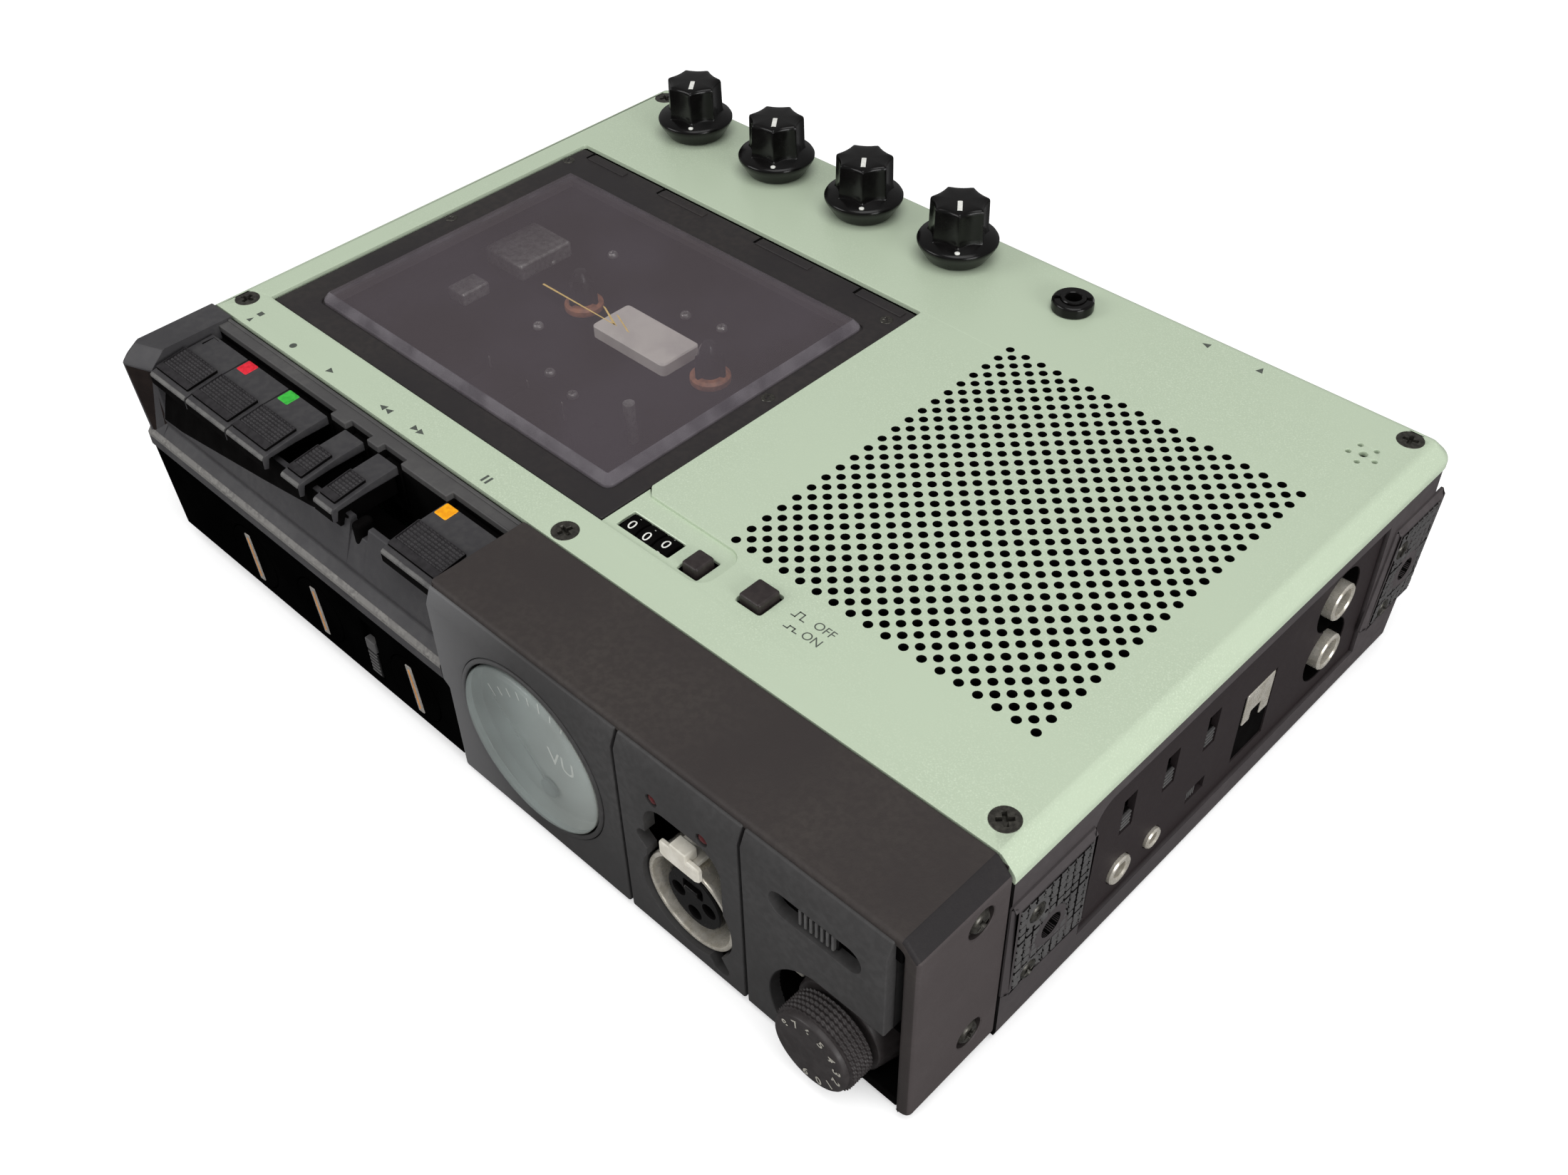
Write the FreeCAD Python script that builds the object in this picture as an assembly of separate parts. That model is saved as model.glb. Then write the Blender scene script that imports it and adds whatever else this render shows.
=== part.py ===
import FreeCAD, Part
import math
import os

# Cassette tape echo unit: a portable recorder body with its keys, meter, sockets and switches,
# a hinged cassette door, and four echo knobs on a sheet metal top cover.
# Millimetres. +X is the right side, +Y the back, +Z up. The origin is on the table, under the
# middle of the whole machine.

V = FreeCAD.Vector
X, Y, Z = V(1, 0, 0), V(0, 1, 0), V(0, 0, 1)

# Whole machine
HALF_WIDTH = 113.8
FRONT = -80.1
BACK = 84.7
BACK_FOOT = 77.5
TOP = 50.0
CASE_BOTTOM = 1.5
WALL = 2.4
FLOOR_TOP = CASE_BOTTOM + WALL
CORNER_R = 4.0

# Sheet metal top cover
SHEET = 1.1
COVER_HALF = 114.1
COVER_FRONT = -55.8
LIP_BOTTOM = 44.8
COVER_UNDER = TOP - SHEET

# Grille lattice, in rows and columns of one pitch with a hole in the middle of each square
GRILLE_PITCH = 4.1
GRILLE_X = 30.1
GRILLE_Y = 49.4
GRILLE_COLUMNS = 18
GRILLE_ROWS = 21
GRILLE_HOLE_R = 0.9

# Cassette bay, door and tape path
BAY_X = (-104.0, 7.2)
BAY_Y = (-46.0, 47.7)
DOOR_X = (-103.5, 6.7)
DOOR_Y = (-45.5, 46.6)
DOOR_Z = (47.2, 49.4)
DOOR_WINDOW_X = (-96.2, 0.7)
DOOR_WINDOW_Y = (-38.4, 35.6)
DOOR_WINDOW_TOP = 51.5
DOOR_FRAME_LAP = 1.2
HINGE_Y = 45.7
HINGE_Z = 48.15
HINGE_PIN_R = 0.7
DECK_FLOOR = (34.9, 36.4)
HUB_Y = 11.3
HUB_MID_X = -43.95
HUB_SPACING = 42.5
CAPSTAN = (-19.5, -15.0)
CAPSTAN_R = 1.3
PINCH_R = 6.0
PINCH_Y = CAPSTAN[1] - CAPSTAN_R - PINCH_R - 1.4
HEAD_Y = -22.5
HEADS_X = (-60.5, -47.5, -36.0)
FLYWHEEL_R = 20.0
MOTOR = (-76.0, 40.0)
MOTOR_PULLEY_R = 4.0
MOTOR_SHAFT_R = 1.0

# Front module
MODULE_LEFT = -3.2
MODULE_BACK = -56.2
CASE_FRONT = MODULE_BACK + 0.2
STRIP_FRONT = -78.3
STRIP_UNDER = 47.4
SIDE_WALL = 2.9
PANEL_BACK = -77.6
CHAMFER_TOP = (-78.6, 49.0)
CHAMFER_FOOT = 45.4
SEAM_1 = (47.5, 48.1)
SEAM_2 = (77.6, 78.0)
LEVEL_RIGHT = 109.1

# Meter
METER_X = 23.1
METER_Z = 25.1
METER_R = 18.2
METER_RING_R = 19.5
NEEDLE_PIVOT_Z = 12.2
NEEDLE_LENGTH = 22.0
NEEDLE_PIN_R = 0.8

# Microphone socket
XLR_X = 63.6
XLR_Z = 15.8
XLR_OUTER_R = 10.8
XLR_BORE_R = 9.7
XLR_INSERT_R = 6.8
XLR_OPENING_R = 11.2

# Record level knob and its well
LEVEL_X = 97.2
LEVEL_Z = 11.6
LEVEL_FRONT = -84.7
WELL_R = 13.4
WELL_FLOOR = -68.0
WELL_CEILING = 24.6

# Speed slider
SPEED_X = 94.2
SPEED_Z = 38.2
SPEED_SLOT = (84.3, 104.0)

# Keys: name, left edge, right edge
KEYS = [
    ("stop_key", -103.3, -89.4),
    ("record_key", -89.0, -73.9),
    ("play_key", -73.5, -59.8),
    ("rewind_key", -53.5, -47.2),
    ("forward_key", -42.2, -35.8),
    ("pause_key", -19.9, -4.0),
]
KEY_PIVOT_Y = -51.0
KEY_PIVOT_Z = 41.0
KEY_SHAFT_R = 1.5
RUNNING = 0.05

# Key housing at the front left
CHEEK_INNER = -104.1
CHEEK_FRONT = -76.8
STRIP_TOP = 49.4
VALLEY_BACK = -61.2
LIP_Z = (25.2, 28.6)

# Front window with its three knobs and its slider
WINDOW_Y = (-79.9, -78.4)
WINDOW_Z = (4.2, 25.0)
WINDOW_KNOB_X = (-73.7, -49.0, -15.8)
WINDOW_KNOB_Z = 13.0
WINDOW_KNOB_R = 7.8
TONE_X = -30.2
TONE_SLOT_Z = (6.3, 22.0)

# Top controls
KNOB_X = (-87.6, -59.0, -30.4, -1.8)
KNOB_Y = 70.4
KNOB_SIDES = 7
KNOB_SHAFT_R = 3.0
ECHO_JACK = (30.4, 70.8)
JACK_BORE_R = 1.8
COUNTER_Y = -41.8
COUNTER_Z = 44.5
COUNTER_R = 5.0
RESET = (29.5, -41.8)
MEMORY = (44.3, -40.8)

# Right side
RECESS_Y = (-33.0, 62.5)
RECESS_Z = (7.0, 41.5)
RECESS_X = 112.8
SWITCH_Y = (-20.7, -7.7, 5.3)
SWITCH_Z = (24.7, 34.0)
MONITOR_Y = (1.0, 6.9)
MONITOR_Z = (12.0, 15.3)
REMOTE_JACK = (-10.1, 12.7)
MIC_JACK = (-20.6, 13.5)
PHONE_Y = (16.6, 27.9)
PHONE_Z = (10.2, 28.4)
LINE_JACK_Y = 48.6
LINE_JACK_Z = (31.2, 17.5)
LINE_WELL_R = 7.4
LUG_Z = (13.4, 38.6)
LUG_MIDDLES_Y = (-44.9, 73.45)
LUG_OUTLINES = (
    ((-55.9, LUG_Z[0]), (-33.4, LUG_Z[0]), (-33.4, LUG_Z[1]), (-55.9, LUG_Z[1])),
    ((61.6, LUG_Z[0]), (80.9, LUG_Z[0]), (84.2, LUG_Z[1]), (65.4, LUG_Z[1])),
)
LUG_OUT = 1.4

COVER_SCREWS = [(-107.8, -49.7), (4.6, -52.5), (107.2, -50.1), (106.8, 78.5), (-107.6, 78.3)]
MODULE_SCREWS = [(-63.2, 42.2), (-63.4, 11.0)]
FEET = [(-95, -62), (95, -62), (-95, 68), (95, 68)]


def box(x, y, z):
    """A block between two places on each axis, given in either order."""
    low = V(min(x), min(y), min(z))
    size = V(abs(x[1] - x[0]), abs(y[1] - y[0]), abs(z[1] - z[0]))
    return Part.makeBox(size.x, size.y, size.z, low)


def rod(radius, start, end):
    """A round rod from one point to another."""
    start, end = V(*start), V(*end)
    line = end - start
    return Part.makeCylinder(radius, line.Length, start, line)


def cone(r0, r1, start, end):
    start, end = V(*start), V(*end)
    line = end - start
    return Part.makeCone(r0, r1, line.Length, start, line)


def prism(points, direction):
    """A closed polygon of points, pushed along a direction."""
    corners = [V(*p) for p in points]
    return Part.Face(Part.makePolygon(corners + corners[:1])).extrude(direction)


def side_profile(points, x0, x1):
    """A polygon of (y, z) points, pushed from one x to another."""
    return prism([(x0, y, z) for y, z in points], X * (x1 - x0))


def lathe(points, centre, axis):
    """A polygon of (radius, height) points turned once round an axis through centre."""
    side = V(axis.y, axis.z, axis.x)
    start = V(*centre)
    corners = [start + side * r + axis * h for r, h in points]
    face = Part.Face(Part.makePolygon(corners + corners[:1]))
    return face.revolve(start, axis, 360)


def fuse(*shapes):
    whole = shapes[0].multiFuse(list(shapes[1:]))
    return whole.removeSplitter()


def cut(base, *tools):
    return base.cut(list(tools))


def edges_where(shape, test):
    return [edge for edge in shape.Edges if test(edge)]


def upright(edge):
    """True for a straight vertical edge."""
    ends = [v.Point for v in edge.Vertexes]
    return len(ends) == 2 and abs(ends[0].x - ends[1].x) < 1e-6 and abs(ends[0].y - ends[1].y) < 1e-6


def stadium(x, y, z):
    """A slot with round ends along X, cut right through along Y."""
    radius = (z[1] - z[0]) / 2
    middle = (z[0] + z[1]) / 2
    left = rod(radius, (x[0] + radius, y[0], middle), (x[0] + radius, y[1], middle))
    right = rod(radius, (x[1] - radius, y[0], middle), (x[1] - radius, y[1], middle))
    return fuse(left, right, box((x[0] + radius, x[1] - radius), y, z))


def save(name, shape):
    shape.exportStep("parts/" + name + ".step")
    solids = shape.Solids
    print(name, "solids", len(solids), "volume", round(shape.Volume, 1), "valid", shape.isValid())


def bottom_case():
    """The lower shell: floor, side walls and back wall, with the sunk side panel and its holes."""
    outer = box((-HALF_WIDTH, HALF_WIDTH), (CASE_FRONT, BACK), (CASE_BOTTOM, LIP_BOTTOM))
    back_corners = edges_where(outer, lambda e: upright(e) and e.Vertexes[0].Point.y > 0)
    outer = outer.makeFillet(CORNER_R, back_corners)
    rim_half = COVER_HALF - SHEET - 0.4
    rim = box((-rim_half, rim_half), (CASE_FRONT, BACK - 1.2), (LIP_BOTTOM - 1, COVER_UNDER - 0.6))
    rim_corners = edges_where(rim, lambda e: upright(e) and e.Vertexes[0].Point.y > 0)
    rim = rim.makeFillet(CORNER_R - 1, rim_corners)
    apron = box((CHEEK_INNER + 0.1, HALF_WIDTH - SIDE_WALL), (PANEL_BACK + 1.2, CASE_FRONT), (CASE_BOTTOM, FLOOR_TOP))
    inside = box(
        (-HALF_WIDTH + WALL, HALF_WIDTH - WALL), (-60, BACK - 3.4), (FLOOR_TOP, TOP)
    )
    lean_outside = side_profile([(BACK, LIP_BOTTOM - 1), (BACK_FOOT, 0), (BACK + 5, 0)], -HALF_WIDTH - 1, HALF_WIDTH + 1)
    lean_inside = side_profile(
        [(BACK - 3.4, LIP_BOTTOM - 1), (BACK_FOOT - 3.4, 0), (BACK, 0)], -HALF_WIDTH - 1, HALF_WIDTH + 1
    )
    shell = fuse(cut(fuse(outer, rim, apron), cut(inside, lean_inside)), *screw_posts())
    shell = cut(shell, lean_outside)
    recess = box((RECESS_X, 120), RECESS_Y, RECESS_Z)
    corner = edges_where(recess, lambda e: abs(e.CenterOfMass.y - RECESS_Y[0]) < 1e-6
                         and abs(e.CenterOfMass.z - RECESS_Z[1]) < 1e-6)
    recess = recess.makeFillet(5.0, corner)
    holes = [recess, box((LEVEL_X - WELL_R - 0.4, HALF_WIDTH), (-80, WELL_FLOOR + 1.8), (0, FLOOR_TOP + 1))]
    for y in SWITCH_Y:
        holes.append(box((105, 120), (y - 1.9, y + 1.9), SWITCH_Z))
    holes.append(box((105, 120), MONITOR_Y, MONITOR_Z))
    holes.append(box((105, 120), PHONE_Y, PHONE_Z))
    holes.append(rod(2.5, (105, *REMOTE_JACK), (120, *REMOTE_JACK)))
    holes.append(rod(3.4, (105, *MIC_JACK), (120, *MIC_JACK)))
    for z in LINE_JACK_Z:
        holes.append(rod(LINE_WELL_R, (105, LINE_JACK_Y, z), (120, LINE_JACK_Y, z)))
    for middle in LUG_MIDDLES_Y:
        holes.append(rod(2.6, (105, middle, 24.0), (120, middle, 24.0)))
    return cut(shell, *holes)


def screw_posts():
    """The five posts that the cover's screws go into."""
    posts = []
    for x, y in COVER_SCREWS:
        post = rod(2.4, (x, y, FLOOR_TOP - 0.5), (x, y, COVER_UNDER))
        posts.append(cut(post, rod(1.5 + RUNNING, (x, y, 40), (x, y, 60))))
    return posts


def feet():
    return Part.makeCompound([rod(6.0, (x, y, 0), (x, y, CASE_BOTTOM)) for x, y in FEET])


def top_cover():
    """The green sheet metal pan: three bent lips, the door opening, the grille and the holes."""
    pan = box((-COVER_HALF, COVER_HALF), (COVER_FRONT, BACK + 0.3), (LIP_BOTTOM, TOP))
    back_corners = edges_where(pan, lambda e: upright(e) and e.Vertexes[0].Point.y > 0)
    pan = pan.makeFillet(CORNER_R + 0.3, back_corners)
    bends = edges_where(pan, lambda e: e.BoundBox.ZMin > TOP - 1e-6 and e.BoundBox.YMax > COVER_FRONT + 1)
    pan = pan.makeFillet(2.2, bends)
    inner_half = COVER_HALF - SHEET
    hollow = box((-inner_half, inner_half), (COVER_FRONT - 5, BACK + 0.3 - SHEET), (LIP_BOTTOM - 5, COVER_UNDER))
    inner_corners = edges_where(hollow, lambda e: upright(e) and e.Vertexes[0].Point.y > 0)
    hollow = hollow.makeFillet(CORNER_R - 0.8, inner_corners)
    inner_bends = edges_where(
        hollow, lambda e: e.BoundBox.ZMin > COVER_UNDER - 1e-6 and e.BoundBox.YMax > COVER_FRONT + 1
    )
    hollow = hollow.makeFillet(1.1, inner_bends)
    recess = box((6.0, 34.6), (-46.0, -34.4), (TOP - 0.5, TOP + 2))
    ends = edges_where(recess, lambda e: upright(e) and e.Vertexes[0].Point.x > 30)
    recess = recess.makeFillet(3.2, ends)
    holes = [hollow, recess, box(BAY_X, BAY_Y, (40, 60))]
    holes.append(box((9.6, 23.8), (-44.2, -39.4), (40, 60)))
    holes.append(box((26.8, 32.2), (-44.9, -38.7), (40, 60)))
    holes.append(box((41.1, 47.5), (-44.1, -37.5), (40, 60)))
    for x in KNOB_X:
        holes.append(rod(3.7, (x, KNOB_Y, 40), (x, KNOB_Y, 60)))
    holes.append(rod(3.1, (*ECHO_JACK, 40), (*ECHO_JACK, 60)))
    for x, y in COVER_SCREWS:
        holes.append(rod(1.6, (x, y, 40), (x, y, 60)))
        holes.append(cone(1.6, 2.9, (x, y, COVER_UNDER), (x, y, TOP + 0.1)))
    holes.append(rod(0.9, (102.3, 68.2, 40), (102.3, 68.2, 60)))
    for i in range(5):
        angle = math.radians(274 + 72 * i)
        x, y = 102.3 + 2.9 * math.cos(angle), 68.2 + 2.9 * math.sin(angle)
        holes.append(rod(0.6, (x, y, 40), (x, y, 60)))
    plate = cut(pan, *holes)
    grille = []
    for row in range(GRILLE_ROWS):
        for column in range(GRILLE_COLUMNS):
            grille.append((GRILLE_X + column * GRILLE_PITCH, GRILLE_Y - row * GRILLE_PITCH))
    for row in range(GRILLE_ROWS - 1):
        for column in range(GRILLE_COLUMNS - 1):
            grille.append((GRILLE_X + (column + 0.5) * GRILLE_PITCH, GRILLE_Y - (row + 0.5) * GRILLE_PITCH))
    drills = [rod(GRILLE_HOLE_R, (x, y, COVER_UNDER - 1), (x, y, TOP + 1)) for x, y in grille]
    return plate.cut(Part.makeCompound(drills))


def front_cover():
    """The dark strip in front of the metal cover, with the module's right and left side walls."""
    block = box((MODULE_LEFT, HALF_WIDTH), (STRIP_FRONT, MODULE_BACK), (CASE_BOTTOM, TOP))
    bend = edges_where(
        block,
        lambda e: abs(e.CenterOfMass.x - HALF_WIDTH) < 1e-6 and abs(e.CenterOfMass.z - TOP) < 1e-6,
    )
    block = block.makeFillet(CORNER_R, bend)
    right = HALF_WIDTH - SIDE_WALL
    hollow = box((MODULE_LEFT + 1.8, right), (STRIP_FRONT - 5, MODULE_BACK + 5), (CASE_BOTTOM - 5, STRIP_UNDER))
    rebate = box((MODULE_LEFT - 1, right), (STRIP_FRONT - 5, PANEL_BACK + 0.1), (0, CHAMFER_TOP[1] + 0.1))
    floor_gap = box((MODULE_LEFT - 1, right), (PANEL_BACK, MODULE_BACK + 5), (0, FLOOR_TOP + 0.1))
    screws = [rod(1.6, (100, y, z), (120, y, z)) for y, z in MODULE_SCREWS]
    seats = [rod(3.1, (HALF_WIDTH - 1.0, y, z), (120, y, z)) for y, z in MODULE_SCREWS]
    return cut(block, hollow, rebate, floor_gap, *screws, *seats)


def key_housing():
    """The front left bezel: cheek, key valley, apron, lip and the wall behind the window."""
    profile = [
        (MODULE_BACK, STRIP_TOP), (VALLEY_BACK, STRIP_TOP), (VALLEY_BACK, 30.0), (-73.6, 30.0),
        (-72.9, 43.6), (-74.4, 43.6), (-77.7, 33.2), (-77.0, 32.5), (-79.5, 29.4), (-80.1, LIP_Z[1]),
        (-80.1, LIP_Z[0]), (WINDOW_Y[1], LIP_Z[0]), (WINDOW_Y[1], 1.9), (-76.6, CASE_BOTTOM),
        (-76.6, 28.0), (-58.8, 28.0), (-58.8, 47.0), (MODULE_BACK, 47.0),
    ]
    trough = side_profile(profile, CHEEK_INNER - 1, MODULE_LEFT - 0.2)
    cheek = prism(
        [(-HALF_WIDTH, MODULE_BACK, CASE_BOTTOM), (CHEEK_INNER, MODULE_BACK, CASE_BOTTOM),
         (CHEEK_INNER, CHEEK_FRONT, CASE_BOTTOM), (-111.4, FRONT + 0.4, CASE_BOTTOM),
         (-HALF_WIDTH, FRONT + 2.4, CASE_BOTTOM)],
        Z * (TOP - CASE_BOTTOM),
    )
    bend = edges_where(
        cheek,
        lambda e: abs(e.CenterOfMass.x + HALF_WIDTH) < 1e-6 and abs(e.CenterOfMass.z - TOP) < 1e-6,
    )
    cheek = cheek.makeFillet(CORNER_R, bend)
    cheek_hollow = box((-HALF_WIDTH + 2.4, CHEEK_INNER - 2.0), (-60 - 14, MODULE_BACK + 5), (0, 47.0))
    lip_tail = side_profile(
        [(-76.6, LIP_Z[0]), (-79.4, LIP_Z[0]), (-80.1, LIP_Z[0]), (-80.1, LIP_Z[1]), (-79.5, 29.4), (-76.6, 32.5)],
        -112.0, CHEEK_INNER,
    )
    shape = fuse(cut(cheek, cheek_hollow), trough, lip_tail)
    openings = [box((-HALF_WIDTH - 1, CHEEK_INNER), (-85, WINDOW_Y[1] + 0.05), (0, LIP_Z[0] - 0.1))]
    for name, left, right in KEYS:
        middle = (left + right) / 2
        openings.append(box((middle - 2.6, middle + 2.6), (VALLEY_BACK - 1, -55), (36.0, 46.6)))
    for left, right in ((-103.6, -59.2), (-54.1, -46.6), (-42.8, -35.2), (-20.5, -1)):
        openings.append(box((left, right), (VALLEY_BACK - 1, -59.6), (46.6, 52)))
    openings.append(box((-33.4, -27.4), (-76, -72), (41.0, 46)))
    for x in WINDOW_KNOB_X:
        openings.append(rod(3.4, (x, -82, WINDOW_KNOB_Z), (x, -70, WINDOW_KNOB_Z)))
    openings.append(box((TONE_X - 1.2, TONE_X + 1.2), (-79, -75), (TONE_SLOT_Z[0] + 1, TONE_SLOT_Z[1] - 1)))
    openings.append(box((-104.3, -103.9), (-51.2, -50), (40, 42)))
    return cut(shape, *openings)


def front_window():
    """The black window strip, with its round holes and its slider slot."""
    low, high = WINDOW_Z
    plate = prism(
        [(-109.4, WINDOW_Y[1], high), (-105.8, WINDOW_Y[1], low), (-1.9, WINDOW_Y[1], low), (-1.9, WINDOW_Y[1], high)],
        Y * (WINDOW_Y[0] - WINDOW_Y[1]),
    )
    holes = [rod(WINDOW_KNOB_R + 0.4, (x, -85, WINDOW_KNOB_Z), (x, -70, WINDOW_KNOB_Z)) for x in WINDOW_KNOB_X]
    holes.append(box((TONE_X - 2.6, TONE_X + 2.6), (-85, -70), TONE_SLOT_Z))
    return cut(plate, *holes)


def panel_profile():
    return [
        (PANEL_BACK, CASE_BOTTOM), (FRONT + 0.8, CASE_BOTTOM), (FRONT, CASE_BOTTOM + 0.8),
        (FRONT, CHAMFER_FOOT), CHAMFER_TOP, (PANEL_BACK, CHAMFER_TOP[1]),
    ]


def vu_block():
    """The front block that frames the meter."""
    block = side_profile(panel_profile(), MODULE_LEFT, SEAM_1[0])
    step = box((MODULE_LEFT - 1, -1.6), (-90, -70), (0, 25.3))
    hole = rod(METER_R + 0.3, (METER_X, -90, METER_Z), (METER_X, -70, METER_Z))
    seat = rod(METER_RING_R, (METER_X, -90, METER_Z), (METER_X, FRONT + 0.5, METER_Z))
    return cut(block, step, hole, seat)


def mic_panel():
    """The front block with the shaped opening for the microphone socket and two lamp holes."""
    block = side_profile(panel_profile(), SEAM_1[1], SEAM_2[0])
    round_part = rod(XLR_OPENING_R, (XLR_X, -90, XLR_Z), (XLR_X, -70, XLR_Z))
    upper = box((54.2, 73.0), (-90, -70), (XLR_Z, 36.9))
    upper_corners = edges_where(
        upper, lambda e: abs(e.CenterOfMass.z - 36.9) < 1e-6 and abs(e.CenterOfMass.y + 80) < 1e-6
    )
    upper = upper.makeFillet(5.5, upper_corners)
    left_notch = stadium((51.9, 57.0), (-90, -70), (24.4, 28.4))
    low_notch = rod(2.1, (71.4, -90, 5.2), (71.4, -70, 5.2))
    lamps = [rod(1.35, (x, -90, 39.0), (x, -70, 39.0)) for x in (56.9, 69.0)]
    return cut(block, round_part, upper, left_notch, low_notch, *lamps)


def level_panel():
    """The front block with the speed slot, cut away round the record level knob."""
    block = side_profile(panel_profile(), SEAM_2[1], LEVEL_RIGHT)
    well = rod(WELL_R, (LEVEL_X, -90, LEVEL_Z), (LEVEL_X, -70, LEVEL_Z))
    corner = box((LEVEL_X, 120), (-90, -70), (-5, WELL_CEILING))
    foot = box((LEVEL_X - 8, 120), (-90, -70), (-5, LEVEL_Z - 8))
    slot = stadium(SPEED_SLOT, (-90, -70), (SPEED_Z - 2.9, SPEED_Z + 2.9))
    block = cut(block, well, corner, foot, slot)
    side_return = box((LEVEL_RIGHT - 1.6, LEVEL_RIGHT), (PANEL_BACK - 0.5, -72.0), (WELL_CEILING, 47.0))
    sleeve = cut(
        rod(WELL_R + 1.3, (LEVEL_X, PANEL_BACK - 0.5, LEVEL_Z), (LEVEL_X, WELL_FLOOR, LEVEL_Z)),
        rod(WELL_R, (LEVEL_X, -90, LEVEL_Z), (LEVEL_X, -60, LEVEL_Z)),
        box((LEVEL_X, 130), (-90, -60), (-20, 60)),
        box((60, 130), (-90, -60), (-20, 4.2)),
    )
    ceiling = box((LEVEL_X - 1, LEVEL_RIGHT), (PANEL_BACK - 0.5, WELL_FLOOR), (WELL_CEILING, WELL_CEILING + 1.3))
    floor = box((LEVEL_X - WELL_R - 1.3, 110.4), (WELL_FLOOR, WELL_FLOOR + 1.6), (4.2, WELL_CEILING + 1.3))
    shaft_hole = rod(3.4, (LEVEL_X, -90, LEVEL_Z), (LEVEL_X, -60, LEVEL_Z))
    return cut(fuse(block, side_return, sleeve, ceiling, floor), shaft_hole)


def meter_case():
    """The meter's cup, with its dial wall at the back and the needle's pin."""
    depth = [(0, 0), (METER_R, 0), (METER_R, 14.6), (METER_R - 1.2, 14.6), (METER_R - 1.2, 2.0), (0, 2.0)]
    cup = lathe(depth, (METER_X, -64.6, METER_Z), V(0, -1, 0))
    pin = rod(NEEDLE_PIN_R, (METER_X, -66.0, NEEDLE_PIVOT_Z), (METER_X, -72.6, NEEDLE_PIVOT_Z))
    return fuse(cup, pin)


def meter_lens():
    """The clear domed cover of the meter: a disc whose front is part of a large sphere."""
    back, rim, rise = -79.3, 1.2, 1.6
    sphere_r = (METER_R ** 2 + rise ** 2) / (2 * rise)
    disc = rod(METER_R, (METER_X, back, METER_Z), (METER_X, back - 6, METER_Z))
    sphere = Part.makeSphere(sphere_r, V(METER_X, back - rim - rise + sphere_r, METER_Z))
    return disc.common(sphere)


def meter_needle():
    """The pointer and its hub, at rest at the left end of the scale."""
    pivot = V(METER_X, -70.0, NEEDLE_PIVOT_Z)
    hub = rod(2.4, (pivot.x, -69.0, pivot.z), (pivot.x, -72.0, pivot.z))
    pointer = box((pivot.x - 0.25, pivot.x + 0.25), (-70.9, -70.4), (pivot.z, pivot.z + NEEDLE_LENGTH))
    bore = rod(NEEDLE_PIN_R + RUNNING, (pivot.x, -60, pivot.z), (pivot.x, -80, pivot.z))
    whole = cut(fuse(hub, pointer), bore)
    whole.rotate(pivot, Y, -42)
    return whole


def xlr_socket():
    """The socket barrel and its three hole insert, joined by the floor of the ring gap."""
    barrel = [
        (XLR_BORE_R, 0), (XLR_OUTER_R, 0), (XLR_OUTER_R, -16), (0, -16), (0, 0.6), (XLR_INSERT_R, 0.6),
        (XLR_INSERT_R, -13), (XLR_BORE_R, -13),
    ]
    body = lathe(barrel, (XLR_X, -79.2, XLR_Z), V(0, -1, 0))
    holes = []
    for dx, dz in ((-3.8, 0), (0, -3.8), (3.8, 0)):
        holes.append(rod(1.5, (XLR_X + dx, -85, XLR_Z + dz), (XLR_X + dx, -69, XLR_Z + dz)))
    return cut(body, *holes)


def xlr_latch():
    """The push tab over the socket and the bar behind it."""
    tab = box((58.5, 68.3), (-80.7, -79.7), (27.0, 31.0))
    bar = box((60.4, 66.4), (-80.0, -70.0), (28.3, 29.4))
    return fuse(tab, bar)


def record_knob():
    """The front record level knob, turned with fine ridges round its side."""
    body = lathe(
        [(0, 0), (7.5, 0), (8.0, 0.5), (8.0, 1.2), (8.6, 1.6), (8.6, 6.6), (0, 6.6)],
        (LEVEL_X, LEVEL_FRONT, LEVEL_Z), Y,
    )
    bore = rod(KNOB_SHAFT_R + RUNNING, (LEVEL_X, LEVEL_FRONT + 2, LEVEL_Z), (LEVEL_X, -70, LEVEL_Z))
    ridges = []
    count = 48
    for i in range(count):
        angle = 2 * math.pi * i / count
        x, z = LEVEL_X + 8.75 * math.cos(angle), LEVEL_Z + 8.75 * math.sin(angle)
        ridges.append(rod(0.32, (x, LEVEL_FRONT + 2, z), (x, -70, z)))
    return cut(body, bore, Part.makeCompound(ridges))


def mode_ring():
    """The flared ring behind the record knob."""
    return lathe(
        [(KNOB_SHAFT_R + RUNNING, 0), (9.2, 0), (10.4, 4.6), (10.4, 6.2), (KNOB_SHAFT_R + RUNNING, 6.2)],
        (LEVEL_X, LEVEL_FRONT + 7.2, LEVEL_Z), Y,
    )


def speed_slider():
    """The ribbed grip in the oval slot, on the strip that slides behind it."""
    grip = box((SPEED_X - 4.3, SPEED_X + 4.3), (-79.6, -76.9), (SPEED_Z - 2.05, SPEED_Z + 2.05))
    ribs = [box((SPEED_X - 3.9 + 1.3 * i, SPEED_X - 3.3 + 1.3 * i), (-80, -79.1), (30, 45)) for i in range(7)]
    strip = box((86.0, 102.4), (-77.2, -76.2), (SPEED_Z - 4.0, SPEED_Z + 4.0))
    return fuse(cut(grip, *ribs), strip)


def lamps():
    """Two signal lamps behind the microphone panel's holes."""
    made = []
    for x in (56.9, 69.0):
        body = fuse(rod(1.2, (x, -79.8, 39.0), (x, -76, 39.0)), rod(1.9, (x, -77.3, 39.0), (x, -74, 39.0)))
        made.append(body)
    return Part.makeCompound(made)


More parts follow.
